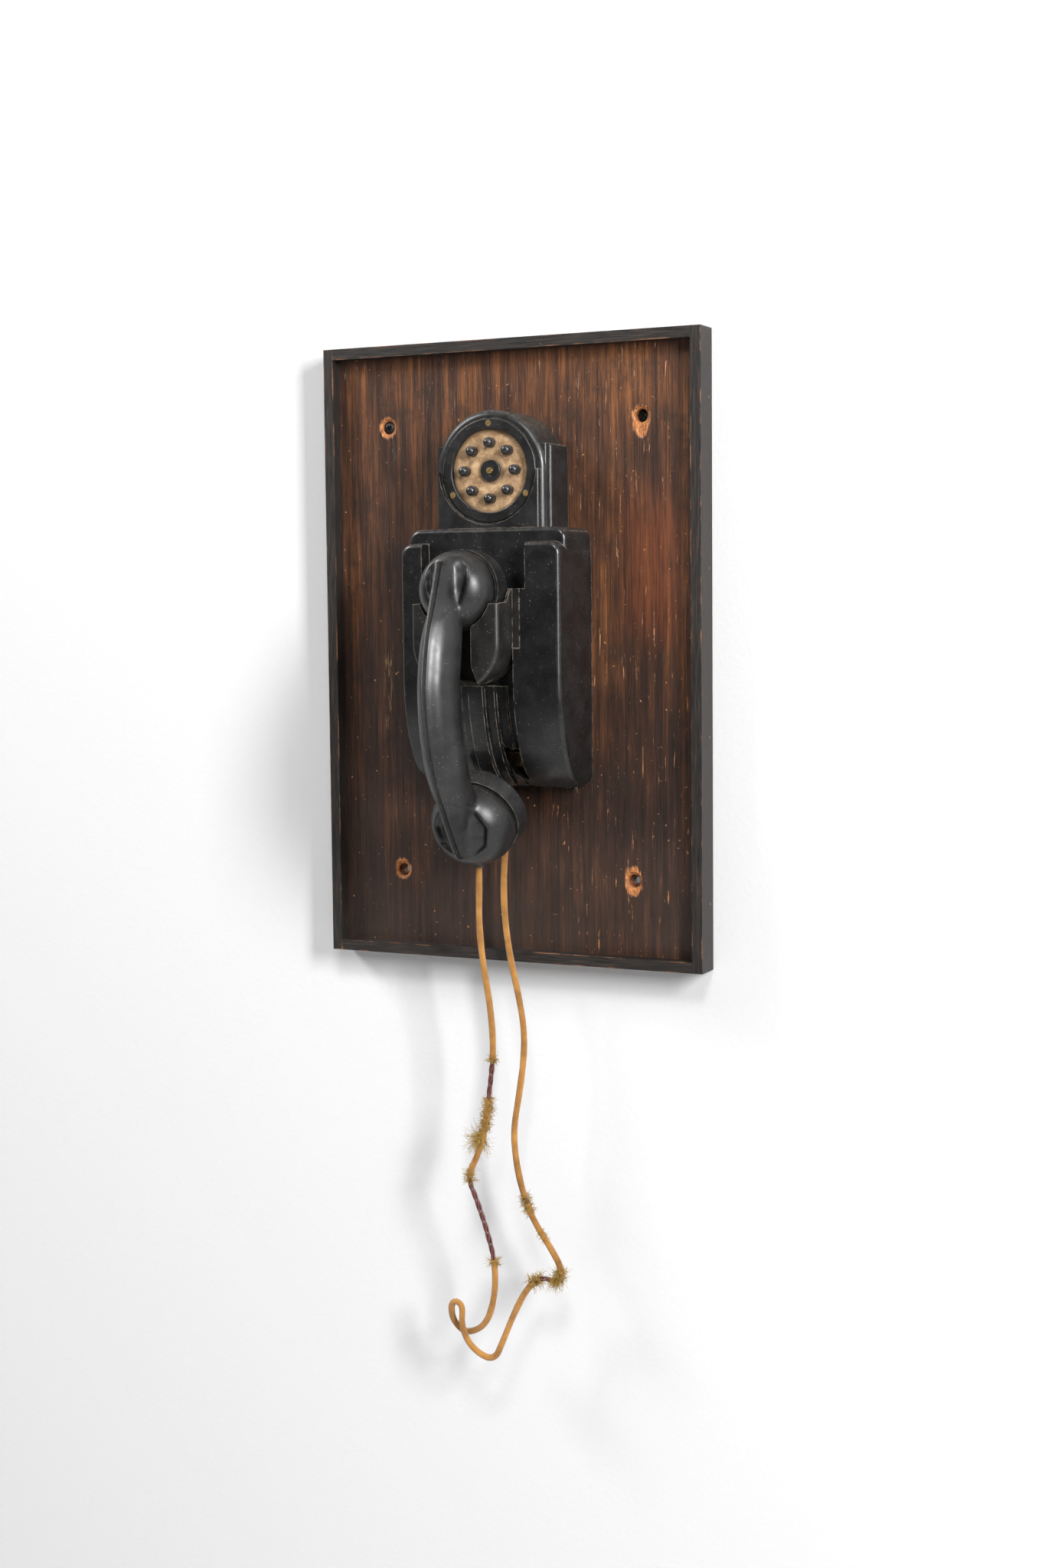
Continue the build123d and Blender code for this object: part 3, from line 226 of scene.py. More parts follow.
def panel_wood():
    sh = Shade("panel_wood")
    grain_place = sh.stretch(1.0, 1.0, 0.03)
    broad = sh.noise(0.16, 4.0, 0.6, grain_place, 0.6)
    fine = sh.noise(0.75, 6.0, 0.7, grain_place)
    hair = sh.noise(2.6, 3.0, 0.6, sh.stretch(1.0, 1.0, 0.02))
    patch = sh.noise(0.022, 3.0, 0.6, sh.stretch(1.0, 1.0, 0.45))
    height = sh.axis("Z")
    across = sh.axis("X")
    lift = sh.step(height, -150.0, 215.0)
    right = sh.step(across, -60.0, 130.0)
    tone = add(
        sh,
        times(sh, broad, 0.55),
        times(sh, fine, 0.38),
        times(sh, patch, 0.42),
        times(sh, lift, 0.13),
        times(sh, right, 0.04),
        -0.36,
    )
    color = sh.ramp(
        tone,
        (0.20, (0.0075, 0.0042, 0.003)),
        (0.36, (0.026, 0.0115, 0.0070)),
        (0.47, (0.066, 0.0260, 0.0115)),
        (0.58, (0.150, 0.056, 0.0190)),
        (0.76, (0.31, 0.125, 0.042)),
    )
    dark_lines = sh.step(sh.noise(0.9, 4.0, 0.6, sh.stretch(1.0, 1.0, 0.012)), 0.56, 0.66)
    color = sh.mix(times(sh, dark_lines, 0.62), color, (0.010, 0.006, 0.0045))
    pores = sh.step(sh.noise(2.2, 4.0, 0.65, sh.stretch(1.0, 1.0, 0.035)), 0.53, 0.60)
    color = sh.mix(times(sh, pores, 0.5), color, (0.008, 0.005, 0.004))
    smut = sh.step(sh.noise(0.035, 5.0, 0.65), 0.5, 0.68)
    color = sh.mix(times(sh, smut, 0.55), color, (0.016, 0.010, 0.007))
    # raw streaks where the stain has split away
    streak = sh.step(sh.noise(0.42, 5.0, 0.72, sh.stretch(1.0, 1.0, 0.07), 0.4), 0.625, 0.67)
    zone = sh.step(add(sh, times(sh, right, 0.55), patch), 0.60, 0.92)
    color = sh.mix(times(sh, streak, zone, 0.9), color, (0.42, 0.17, 0.058))
    # dull bloom low on the board
    bloom = times(sh, sh.step(height, -90.0, -215.0), sh.noise(0.03, 4.0), 0.5)
    color = sh.mix(bloom, color, (0.052, 0.034, 0.026))
    # a reddish patch to the right of the case and a pale scuff to its left
    beside = sh.math("ABSOLUTE", sh.math("SUBTRACT", across, 112.0))
    level = sh.math("ABSOLUTE", sh.math("SUBTRACT", height, 62.0))
    patch_mask = times(sh, sh.step(beside, 32.0, 6.0), sh.step(level, 75.0, 20.0), sh.step(fine, 0.3, 0.6))
    color = sh.mix(times(sh, patch_mask, 0.55), color, (0.135, 0.034, 0.011))
    beside = sh.math("ABSOLUTE", sh.math("ADD", across, 106.0))
    level = sh.math("ABSOLUTE", sh.math("ADD", height, 30.0))
    scuff_grain = sh.step(sh.noise(0.5, 5.0, 0.7, sh.stretch(1.0, 1.0, 0.1)), 0.5, 0.62)
    scuff = times(sh, sh.step(beside, 5.0, 1.0), sh.step(level, 36.0, 18.0), scuff_grain)
    color = sh.mix(times(sh, scuff, 0.75), color, (0.30, 0.17, 0.085))
    fleck = sh.step(sh.noise(0.36, 2.0, 0.5), 0.735, 0.76)
    color = sh.mix(times(sh, fleck, 0.8), color, (0.36, 0.17, 0.07))
    # torn raw wood round the fixing holes
    torn = None
    for (x, z), (tear_up, tear_down) in zip(HOLES, ((0.3, 0.3), (0.1, 1.0), (0.5, 0.1), (0.9, 0.7))):
        dx = sh.math("SUBTRACT", across, x)
        dz = sh.math("SUBTRACT", height, z)
        below = sh.step(dz, 0.0, -4.0, 1.0, 1.0 - 0.55 * tear_down)
        above = sh.step(dz, 0.0, 4.0, 1.0, 1.0 - 0.45 * tear_up)
        dz = times(sh, dz, below, above)
        reach = sh.math("SQRT", add(sh, times(sh, dx, dx), times(sh, dz, dz)))
        ragged = times(sh, sh.noise(0.5, 5.0, 0.7, sh.stretch(1.0, 1.0, 0.16)), 7.5)
        mask = sh.step(add(sh, reach, ragged), 11.2, 9.9)
        torn = mask if torn is None else sh.math("MAXIMUM", torn, mask)
    raw = sh.ramp(
        sh.noise(1.3, 5.0, 0.7, sh.stretch(1.0, 1.0, 0.2)),
        (0.34, (0.055, 0.018, 0.007)),
        (0.50, (0.26, 0.088, 0.022)),
        (0.68, (0.55, 0.24, 0.075)),
    )
    color = sh.mix(torn, color, raw)
    # painted shade: surfaces set back behind the panel's front, as inside the holes, are darkened
    recess_shade = sh.step(sh.axis("Y"), -11.6, -8.0)
    color = sh.mix(times(sh, recess_shade, 0.75), color, (0.06, 0.02, 0.008))
    rough = sh.step(add(sh, times(sh, fine, 0.6), times(sh, torn, 0.5)), 0.2, 0.9, 0.38, 0.8)
    relief = add(
        sh, times(sh, fine, 0.6), times(sh, hair, 0.25), times(sh, torn, -0.8), times(sh, streak, -0.5)
    )
    return sh.finish(color, rough, sh.bump(relief, 0.5, 0.55), specular=0.42)


def strip_wood(name, along):
    """Black-painted softwood, rubbed through to the wood along its edges."""
    sh = Shade(name)
    run = sh.stretch(*(0.05 if letter == along else 1.0 for letter in "XYZ"))
    fine = sh.noise(0.9, 6.0, 0.7, run)
    blotch = sh.noise(0.06, 4.0, 0.6)
    base = sh.ramp(
        fine,
        (0.3, (0.0045, 0.0038, 0.0036)),
        (0.52, (0.011, 0.0085, 0.0072)),
        (0.72, (0.034, 0.021, 0.014)),
    )
    pale_edges = times(sh, sh.edge(1.6), sh.step(add(sh, times(sh, fine, 0.5), blotch), 0.74, 0.92))
    bare = sh.ramp(fine, (0.35, (0.10, 0.035, 0.014)), (0.7, (0.34, 0.14, 0.05)))
    color = sh.mix(times(sh, pale_edges, 0.95), base, bare)
    scuff = sh.step(sh.noise(0.3, 5.0, 0.75, sh.stretch(1.0, 1.0, 0.3)), 0.69, 0.73)
    color = sh.mix(times(sh, scuff, 0.7), color, (0.20, 0.09, 0.04))
    relief = add(sh, times(sh, fine, 0.7), times(sh, pale_edges, -0.5), times(sh, scuff, -0.4))
    return sh.finish(color, sh.step(fine, 0.3, 0.8, 0.42, 0.68), sh.bump(relief, 0.4, 0.5), specular=0.4)


# ---------------------------------------------------------------- moulded phenolic
def bakelite(name, base, rough_low, rough_high, pale_edge_radius=0.7, pale_edge_amount=0.7, dust=0.5):
    sh = Shade(name)
    mottle = sh.noise(0.05, 4.0, 0.6)
    grit = sh.noise(1.9, 4.0, 0.7)
    dull = tuple(c * 0.8 for c in base)
    bright = tuple(min(1.0, c * 1.5 + 0.003) for c in base)
    color = sh.mix(sh.step(mottle, 0.35, 0.7), dull, bright)
    # thin film of dust on what faces up
    up = sh.step(sh.facing("Z"), 0.25, 0.95)
    film = times(sh, up, sh.step(sh.noise(0.35, 5.0, 0.7), 0.3, 0.7), dust)
    color = sh.mix(film, color, (0.17, 0.145, 0.115))
    # rubbed edges, paler from wear; on the keel's crest the pale edge is also a painted highlight
    pale_edges = times(sh, sh.edge(pale_edge_radius), sh.step(sh.noise(0.16, 4.0, 0.6), 0.34, 0.6), pale_edge_amount)
    color = sh.mix(pale_edges, color, (0.30, 0.255, 0.205))
    # pale specks
    dots = times(sh, sh.step(sh.cells(0.42), 0.13, 0.07), sh.step(sh.noise(0.09, 2.0), 0.42, 0.62))
    fine_dots = times(sh, sh.step(sh.cells(1.1), 0.16, 0.08), sh.step(sh.noise(0.21, 2.0), 0.5, 0.7))
    dots = sh.math("MAXIMUM", dots, fine_dots)
    color = sh.mix(times(sh, dots, 0.55), color, (0.36, 0.33, 0.29))
    rough = add(
        sh, sh.step(sh.noise(0.09, 5.0, 0.6), 0.3, 0.7, rough_low, rough_high),
        times(sh, film, 0.35), times(sh, pale_edges, 0.15), times(sh, grit, 0.06),
    )
    relief = add(sh, times(sh, grit, 0.5), times(sh, dots, 0.3), times(sh, sh.noise(0.3, 2.0), 0.3))
    return sh.finish(color, rough, sh.bump(relief, 0.04, 0.5), specular=0.42)


def metal(name, dark, light, rough_low, rough_high, scale=0.8, metallic=1.0):
    sh = Shade(name)
    stain = sh.noise(scale, 5.0, 0.65)
    fine = sh.noise(scale * 5.0, 3.0, 0.6)
    color = sh.ramp(stain, (0.3, dark), (0.7, light))
    edge = times(sh, sh.edge(0.25), 0.5)
    color = sh.mix(edge, color, tuple(min(1.0, c * 1.6) for c in light))
    rough = sh.step(stain, 0.3, 0.7, rough_high, rough_low)
    normal = sh.bump(add(sh, fine, times(sh, stain, 0.5)), 0.05, 0.5)
    return sh.finish(color, rough, normal, metallic=metallic)


def face_brass():
    """Lacquer-worn, stained sheet round the keys, with grime and painted shade at the rim and in the key
    shadows.
    """
    sh = Shade("face_brass_sheet")
    across = sh.axis("X")
    height = sh.math("SUBTRACT", sh.axis("Z"), 131.8)
    reach = sh.math("SQRT", add(sh, times(sh, across, across), times(sh, height, height)))
    stain = sh.noise(0.16, 6.0, 0.68, warp=0.5)
    fine = sh.noise(1.5, 4.0, 0.7)
    color = sh.ramp(
        add(sh, times(sh, stain, 0.8), times(sh, fine, 0.3), -0.05),
        (0.30, (0.115, 0.060, 0.028)),
        (0.48, (0.30, 0.185, 0.095)),
        (0.66, (0.50, 0.345, 0.20)),
    )
    # grime and painted shade: darker at the rim and round the centre, in patches
    grime_and_shade = sh.math("MAXIMUM", sh.step(reach, 26.5, 30.5), times(sh, sh.step(reach, 12.0, 8.2), 0.8))
    color = sh.mix(times(sh, grime_and_shade, sh.step(stain, 0.2, 0.6), 0.8), color, (0.07, 0.04, 0.022))
    ring_worn = times(sh, sh.step(sh.math("ABSOLUTE", sh.math("SUBTRACT", reach, 20.0)), 4.5, 1.0), 0.25)
    color = sh.mix(ring_worn, color, (0.17, 0.10, 0.055))
    rough = sh.step(stain, 0.3, 0.7, 0.72, 0.5)
    return sh.finish(color, rough, sh.bump(add(sh, stain, fine), 0.12, 0.5), metallic=0.25, specular=0.4)


def plain_grain(name, dark, light, scale, rough, relief=0.2, speckle=0.0):
    """Laminates, windings, rubber: mottled, with a fine surface."""
    sh = Shade(name)
    stain = sh.noise(scale, 5.0, 0.65)
    fine = sh.noise(scale * 6.0, 3.0, 0.6)
    color = sh.ramp(add(sh, times(sh, stain, 0.7), times(sh, fine, 0.3)), (0.32, dark), (0.68, light))
    if speckle:
        dots = times(sh, sh.step(sh.cells(0.9), 0.2, 0.1), speckle)
        color = sh.mix(dots, color, tuple(c * 2.2 for c in light))
    return sh.finish(color, sh.step(fine, 0.3, 0.7, rough - 0.08, rough + 0.08), sh.bump(fine, relief, 0.5))


def winding(name, dark, light, turns):
    """Coil wound from fine wire: rings across its axis."""
    sh = Shade(name)
    wave = sh.math("SINE", times(sh, sh.axis("Z"), turns * 6.283))
    stain = sh.noise(0.3, 4.0)
    color = sh.ramp(add(sh, times(sh, wave, 0.2), stain), (0.3, dark), (0.75, light))
    return sh.finish(color, 0.45, sh.bump(wave, 0.2, 0.6), specular=0.5)


CASE = bakelite("case_phenolic", (0.0040, 0.0038, 0.0040), 0.22, 0.36, 0.8, 0.85, 0.22)
SELECTOR = bakelite("selector_phenolic", (0.0058, 0.0056, 0.0056), 0.25, 0.42, 0.5, 0.8, 0.35)
CRADLE = bakelite("cradle_phenolic", (0.0085, 0.0075, 0.0068), 0.28, 0.46, 0.7, 1.0, 0.5)
HANDSET = bakelite("handset_phenolic", (0.0060, 0.0058, 0.0058), 0.31, 0.40, 0.5, 0.8, 0.06)
# the keel's crest: a stronger pale edge, partly wear and partly a painted highlight along the crest
CREST = bakelite("crest_phenolic", (0.0060, 0.0058, 0.0058), 0.30, 0.40, 0.6, 1.0, 0.1)
KEYS = bakelite("key_phenolic", (0.010, 0.010, 0.011), 0.2, 0.34, 0.3, 0.3, 0.5)
BRASS = metal("brass_dull", (0.20, 0.12, 0.045), (0.62, 0.44, 0.19), 0.3, 0.55)
STEEL = metal("steel_dull", (0.09, 0.085, 0.08), (0.34, 0.33, 0.31), 0.35, 0.6)
BLACK_STEEL = metal("steel_black", (0.012, 0.012, 0.013), (0.06, 0.058, 0.055), 0.35, 0.6, 1.2)
SPRING = metal("spring_wire", (0.25, 0.25, 0.25), (0.55, 0.55, 0.54), 0.22, 0.4)
RUBBER = plain_grain("bush_rubber", (0.010, 0.010, 0.010), (0.03, 0.028, 0.026), 0.5, 0.62, 0.1)
LAMINATE = plain_grain("contact_laminate", (0.12, 0.055, 0.025), (0.28, 0.15, 0.075), 0.25, 0.5, 0.1)
CAN = metal("condenser_can", (0.30, 0.29, 0.27), (0.62, 0.61, 0.59), 0.35, 0.55, 0.2)
COPPER = winding("coil_winding", (0.16, 0.05, 0.02), (0.42, 0.17, 0.07), 1.4)
PANEL = panel_wood()
STRIP_TALL = strip_wood("strip_tall", "Z")
STRIP_WIDE = strip_wood("strip_wide", "X")
FACE = face_brass()

finishes = {
    CASE: ["housing"],
    SELECTOR: ["selector_housing", "bezel_ring", "selector_frame", "hub_disc"],
    CRADLE: ["cradle"],
    HANDSET: ["handset_body", "receiver_cap", "transmitter_cap"],
    KEYS: [f"key_{k}" for k in range(1, 9)],
    BRASS: ["bezel_screws", "hub_screw", "terminal_screws", "key_contacts"],
    STEEL: ["base_plate", "buzzer_frame", "buzzer_armature", "cradle_guide", "base_screws", "strip_nails",
            "frame_studs", "receiver_capsule", "transmitter_capsule"],
    BLACK_STEEL: ["housing_screws"],
    SPRING: ["hook_spring"] + [f"key_spring_{k}" for k in range(1, 9)],
    RUBBER: ["housing_bush", "handset_bush"],
    LAMINATE: ["hook_contacts", "contact_board", "terminal_strip"],
    CAN: ["condenser"],
    COPPER: ["buzzer_coil", "induction_coil"],
    PANEL: ["back_panel"],
    STRIP_TALL: ["strip_left", "strip_right"],
    STRIP_WIDE: ["strip_top", "strip_bottom"],
    FACE: ["face_plate"],
}
for material, names in finishes.items():
    for name in names:
        slots = nodes[name].data.materials
        slots.clear()
        slots.append(material)


# ---------------------------------------------------------------- mesh helper
def in_metres(points):
    return [tuple(c * MM for c in p) for p in points]


def new_piece(name, points, faces, material, body=None, smooth=True):
    mesh = bpy.data.meshes.new(name)
    mesh.from_pydata([tuple(p) for p in points], [], faces)
    mesh.validate()
    mesh.update()
    for polygon in mesh.polygons:
        polygon.use_smooth = smooth
    piece = bpy.data.objects.new(name, mesh)
    bpy.context.scene.collection.objects.link(piece)
    for item in material if isinstance(material, (list, tuple)) else [material]:
        mesh.materials.append(item)
    if body:
        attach(piece, body)
    return piece


# ---------------------------------------------------------------- cord
CORD_DIAMETER = 5.0 * MM
BRAID_RADIUS = 2.42 * MM
WIRE_RADIUS = 0.72 * MM
CORD_STEP = 1.2 * MM
CORD_POINTS = (
    (-6.0, -60.0, -154.0), (-6.0, -60.0, -170.0), (-7.9, -57.5, -196.0), (-5.8, -55.8, -226.0),
    (-0.5, -54.4, -259.0), (0.9, -53.2, -290.0), (-3.2, -52.0, -318.0), (-7.0, -51.0, -345.0),
    (-14.0, -50.0, -369.0), (-24.5, -48.5, -388.0), (-17.5, -47.5, -405.0), (-9.6, -46.5, -428.0),
    (-4.0, -45.0, -452.0), (-4.8, -43.8, -477.0), (-12.5, -43.0, -501.0), (-30.0, -42.0, -510.5),
    (-41.2, -43.0, -501.5), (-41.8, -44.6, -488.0), (-36.0, -46.0, -484.4), (-30.2, -47.2, -488.0),
    (-31.5, -48.0, -503.0), (-24.5, -45.0, -520.0), (-7.5, -41.5, -529.0), (-0.5, -39.5, -512.0),
    (7.8, -38.0, -491.0),
    (18.5, -36.8, -470.0), (30.5, -36.0, -460.5), (42.5, -35.5, -464.5), (46.5, -35.0, -453.5),
    (36.5, -34.5, -438.0), (22.5, -33.8, -419.5), (14.0, -33.0, -401.0), (8.2, -32.4, -378.0),
    (5.8, -31.9, -354.0), (10.5, -31.2, -327.0), (14.5, -30.6, -300.0), (14.8, -30.1, -276.0),
    (9.5, -29.7, -249.0), (3.0, -29.3, -223.0), (-1.0, -29.0, -195.0), (-2.2, -28.0, -168.0),
    (-1.5, -25.0, -141.0), (-2.0, -20.0, -117.0), (-2.0, -20.0, -101.0),
)


def nurbs_line(name, points):
    """Smooth line on the given control points, read back as an array of points."""
    curve = bpy.data.curves.new(name, "CURVE")
    curve.dimensions = "3D"
    spline = curve.splines.new("NURBS")
    spline.points.add(len(points) - 1)
    for control, (x, y, z) in zip(spline.points, points):
        control.co = (x * MM, y * MM, z * MM, 1.0)
    spline.order_u = 3
    spline.use_endpoint_u = True
    spline.resolution_u = 24
    holder = bpy.data.objects.new(name, curve)
    bpy.context.scene.collection.objects.link(holder)
    bpy.context.view_layer.update()
    line = bpy.data.meshes.new_from_object(holder)
    found = np.array([v.co[:] for v in line.vertices])
    bpy.data.objects.remove(holder)
    bpy.data.meshes.remove(line)
    return found


cord_line = nurbs_line("cord_route", CORD_POINTS)


def resample(line, spacing):
    """The same line read at even steps, with how far along each step is."""
    steps = np.linalg.norm(np.diff(line, axis=0), axis=1)
    along = np.concatenate(([0.0], np.cumsum(steps)))
    count = max(2, int(round(along[-1] / spacing)) + 1)
    at = np.linspace(0.0, along[-1], count)
    return np.stack([np.interp(at, along, line[:, k]) for k in range(3)], axis=1), at


def carried_frames(line):
    """Tangent, side and up along a line, carried without twist."""
    tangents = np.gradient(line, axis=0)
    tangents /= np.linalg.norm(tangents, axis=1)[:, None]
    side = np.cross(tangents[0], (0.0, 1.0, 0.0))
    side /= np.linalg.norm(side)
    sides = []
    for tangent in tangents:
        side = side - tangent * side.dot(tangent)
        side /= np.linalg.norm(side)
        sides.append(side)
    sides = np.array(sides)
    return tangents, sides, np.cross(tangents, sides)


cord_points, cord_along = resample(cord_line, CORD_STEP)
cord_tangent, cord_side, cord_up = carried_frames(cord_points)


def along_at(x, z):
    """How far along the cord its line passes nearest to a point of the front view, in metres."""
    gap = (cord_points[:, 0] - x * MM) ** 2 + (cord_points[:, 2] - z * MM) ** 2
    return cord_along[int(np.argmin(gap))]


# bare stretches, from where to where along the cord
bare_spans = [
    (along_at(0.4, -297), along_at(-4.0, -327)),
    (along_at(-21.0, -388), along_at(-4.8, -450)),
    (along_at(24.0, -464.5), along_at(37.0, -462.5)),
    (along_at(17.0, -408), along_at(14.8, -403)),
]


def tube_mesh(line, frames, radii, sides_count, along, first):
    """Points, faces and UVs of a tube about a line. The radius may change along it."""
    points, faces, uvs = [], [], []
    _, side, up = frames
    count = len(line)
    for i in range(count):
        for k in range(sides_count):
            turn = 2 * math.pi * k / sides_count
            points.append(line[i] + radii[i] * (math.cos(turn) * side[i] + math.sin(turn) * up[i]))
    for i in range(count - 1):
        for k in range(sides_count):
            n = (k + 1) % sides_count
            a, b = i * sides_count + k, i * sides_count + n
            faces.append((first + a, first + b, first + b + sides_count, first + a + sides_count))
            u0, u1 = k / sides_count, (k + 1) / sides_count
            v0, v1 = along[i] / CORD_DIAMETER, along[i + 1] / CORD_DIAMETER
            uvs.append(((u0, v0), (u1, v0), (u1, v1), (u0, v1)))
    for start, order in ((0, -1), ((count - 1) * sides_count, 1)):
        faces.append(tuple(first + start + k for k in range(sides_count))[::order])
        uvs.append(tuple((k / sides_count, along[0] / CORD_DIAMETER) for k in range(sides_count)))
    return points, faces, uvs


def cord_braid():
    sh = Shade("cord_braid")
    u = sh.axis("X", sh.uv)
    v = sh.axis("Y", sh.uv)
    left = sh.math("SINE", times(sh, add(sh, times(sh, u, 8.0), times(sh, v, 3.2)), 6.283))
    right = sh.math("SINE", times(sh, sh.math("SUBTRACT", times(sh, u, 8.0), times(sh, v, 3.2)), 6.283))
    weave = sh.math("MAXIMUM", left, right)
    thread = sh.math("SINE", times(sh, add(sh, times(sh, u, 40.0), times(sh, v, 9.0)), 6.283))
    stain = sh.noise(0.05, 4.0, 0.65)
    fuzz = sh.noise(3.0, 4.0, 0.7)
    color = sh.ramp(
        add(sh, times(sh, stain, 0.75), times(sh, fuzz, 0.35), times(sh, weave, 0.06), -0.06),
        (0.30, (0.115, 0.046, 0.007)),
        (0.48, (0.255, 0.110, 0.017)),
        (0.70, (0.44, 0.21, 0.043)),
    )
    dirt = sh.step(sh.noise(0.12, 5.0, 0.7), 0.56, 0.72)
    color = sh.mix(times(sh, dirt, 0.45), color, (0.10, 0.05, 0.016))
    relief = add(sh, times(sh, weave, 0.55), times(sh, thread, 0.2), times(sh, fuzz, 0.5))
    sh.surface.inputs["Sheen Weight"].default_value = 0.25
    return sh.finish(color, 0.85, sh.bump(relief, 0.35, 0.7), specular=0.2)


BRAID = cord_braid()
WIRE = plain_grain("wire_rubber", (0.035, 0.010, 0.009), (0.13, 0.035, 0.030), 0.25, 0.42, 0.1, 0.25)
FRAY = plain_grain("cord_fray", (0.12, 0.070, 0.010), (0.42, 0.26, 0.045), 0.4, 0.85, 0.1)


def make_cord():
    rng = np.random.default_rng(11)
    points, faces, uvs, slots = [], [], [], []
    bare = np.zeros(len(cord_along), bool)
    for low, high in bare_spans:
        bare |= (cord_along > min(low, high)) & (cord_along < max(low, high))
    wobble = np.interp(cord_along, np.linspace(0, cord_along[-1], 90), rng.uniform(0.93, 1.03, 90))
    # the braid, in the stretches where it is whole
    edges = np.flatnonzero(np.diff(bare.astype(int)))
    cuts = [0] + [int(e) + 1 for e in edges] + [len(bare)]
    for low, high in zip(cuts, cuts[1:]):
        if bare[low] or high - low < 3:
            continue
        part = slice(low, high)
        frames = (cord_tangent[part], cord_side[part], cord_up[part])
        more = tube_mesh(
            cord_points[part], frames, BRAID_RADIUS * wobble[part], 20, cord_along[part], len(points)
        )
        points += more[0]
        faces += more[1]
        uvs += more[2]
        slots += [0] * len(more[1])
    # four rubber-covered wires laid round each other, the whole way through
    for wire in range(4):
        turn = 2 * math.pi * (wire / 4 + cord_along / 0.034)
        loose = np.where(bare, 1.0, 0.0)
        loose = np.convolve(loose, np.ones(9) / 9, mode="same")
        reach = (0.95 + 0.35 * loose * (1 + 0.5 * np.sin(cord_along / 0.007 + wire * 2.1))) * MM
        line = cord_points + reach[:, None] * (
            np.cos(turn)[:, None] * cord_side + np.sin(turn)[:, None] * cord_up
        )
        frames = (cord_tangent, cord_side, cord_up)
        more = tube_mesh(line, frames, np.full(len(line), WIRE_RADIUS), 8, cord_along, len(points))
        points += more[0]
        faces += more[1]
        uvs += more[2]
        slots += [1] * len(more[1])
    piece = new_piece("cord", points, faces, [BRAID, WIRE])
    mesh = piece.data
    layer = mesh.uv_layers.new(name="UVMap")
    for polygon, face_uvs, index in zip(mesh.polygons, uvs, slots):
        polygon.material_index = index
        for loop, uv in zip(polygon.loop_indices, face_uvs):
            layer.data[loop].uv = uv
    return piece


def fibre(points, faces, line, radius):
    """Adds one thin fibre to a list of points and faces."""
    first = len(points)
    line = np.array(line)
    for i, place in enumerate(line):
        ahead = line[min(i + 1, len(line) - 1)] - line[max(i - 1, 0)]
        ahead = ahead / (np.linalg.norm(ahead) + 1e-12)
        side = np.cross(ahead, (0.31, 0.83, 0.46))
        side /= np.linalg.norm(side) + 1e-12
        up = np.cross(ahead, side)
        thin = radius * (1.0 - 0.5 * i / (len(line) - 1))
        for k in range(3):
            turn = 2.094 * k
            points.append(place + thin * (math.cos(turn) * side + math.sin(turn) * up))
    for i in range(len(line) - 1):
        for k in range(3):
            n = (k + 1) % 3
            a, b = first + 3 * i, first + 3 * (i + 1)
            faces.append((a + k, a + n, b + n, b + k))


def make_fray(name, at, span, count, length, lean, seed, sideways=(0.0, 0.0, 0.0)):
    """A tuft of broken braid threads round the cord: at along it, spread over span."""
    rng = np.random.default_rng(seed)
    points, faces = [], []
    pull = np.array(sideways)
    for _ in range(count):
        place = at + rng.uniform(-0.5, 0.5) * span
        i = int(np.clip(np.searchsorted(cord_along, place), 1, len(cord_along) - 2))
        turn = rng.uniform(0, 2 * math.pi)
        out = math.cos(turn) * cord_side[i] + math.sin(turn) * cord_up[i]
        heading = out * rng.uniform(0.5, 1.0) + cord_tangent[i] * lean * rng.uniform(-0.6, 1.0) + pull
        heading += rng.normal(0, 0.35, 3)
        heading /= np.linalg.norm(heading)
        spot = cord_points[i] + out * 1.9 * MM
        line = [spot]
        reach = length * rng.uniform(0.2, 1.0)
        curl = rng.normal(0, 0.5, 3)
        for _ in range(6):
            heading = heading + curl * 0.35 + rng.normal(0, 0.22, 3)
            heading /= np.linalg.norm(heading)
            spot = spot + heading * reach / 6
            line.append(spot)
        fibre(points, faces, line, rng.uniform(0.12, 0.24) * MM)
    return new_piece(name, points, faces, FRAY)


cord = make_cord()
tufts = [
    # name, where along the cord, spread, threads, length, lean, pull
    ("fray_ring_upper", along_at(0.4, -296), 4.0, 110, 6.5, 0.3, (0.3, 0.0, 0.2)),
    ("fray_bush", along_at(-5.0, -338), 26.0, 560, 6.5, 0.4, (0.1, 0.0, -0.1)),
    ("fray_tail", along_at(-9.5, -355), 9.0, 300, 17.0, 0.3, (-1.6, -0.1, -1.0)),
    ("fray_elbow", along_at(-21.5, -386), 10.0, 190, 6.8, 0.3, (-0.1, 0.0, 0.1)),
    ("fray_ring_lower", along_at(-4.8, -451), 3.5, 130, 7.5, 0.2, (0.2, 0.0, 0.15)),
    ("fray_left_of_gap", along_at(24.0, -464.5), 10.0, 230, 8.8, 0.3, (-0.1, 0.0, 0.45)),
    ("fray_corner", along_at(43.5, -461), 13.0, 430, 9.2, 0.3, (0.0, -0.1, -0.45)),
    ("fray_small", along_at(31.0, -431), 10.0, 130, 4.0, 0.2, (0.0, 0.0, 0.0)),
    ("fray_right_upper", along_at(17.5, -409), 15.0, 360, 6.0, 0.3, (0.1, 0.0, 0.0)),
]
tuft_pieces = []
for seed, (name, at, spread, count, length, lean, pull) in enumerate(tufts, start=31):
    tuft_pieces.append(make_fray(name, at, spread * MM, count, length * MM, lean, seed, pull))


def hang_between(piece):
    """Bakes the piece's placement into its mesh and finds how far along the cord each point lies; that
    reading is not used.
    """
    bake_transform(piece)
    tree = KDTree(len(cord_points))
    for i, point in enumerate(cord_points):
        tree.insert(point, i)
    tree.balance()
    along = np.array([cord_along[tree.find(v.co)[1]] for v in piece.data.vertices])


for piece in [cord, *tuft_pieces]:
    hang_between(piece)
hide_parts("handset_cord")


# ---------------------------------------------------------------- handset
HANDSET_X = -4.7
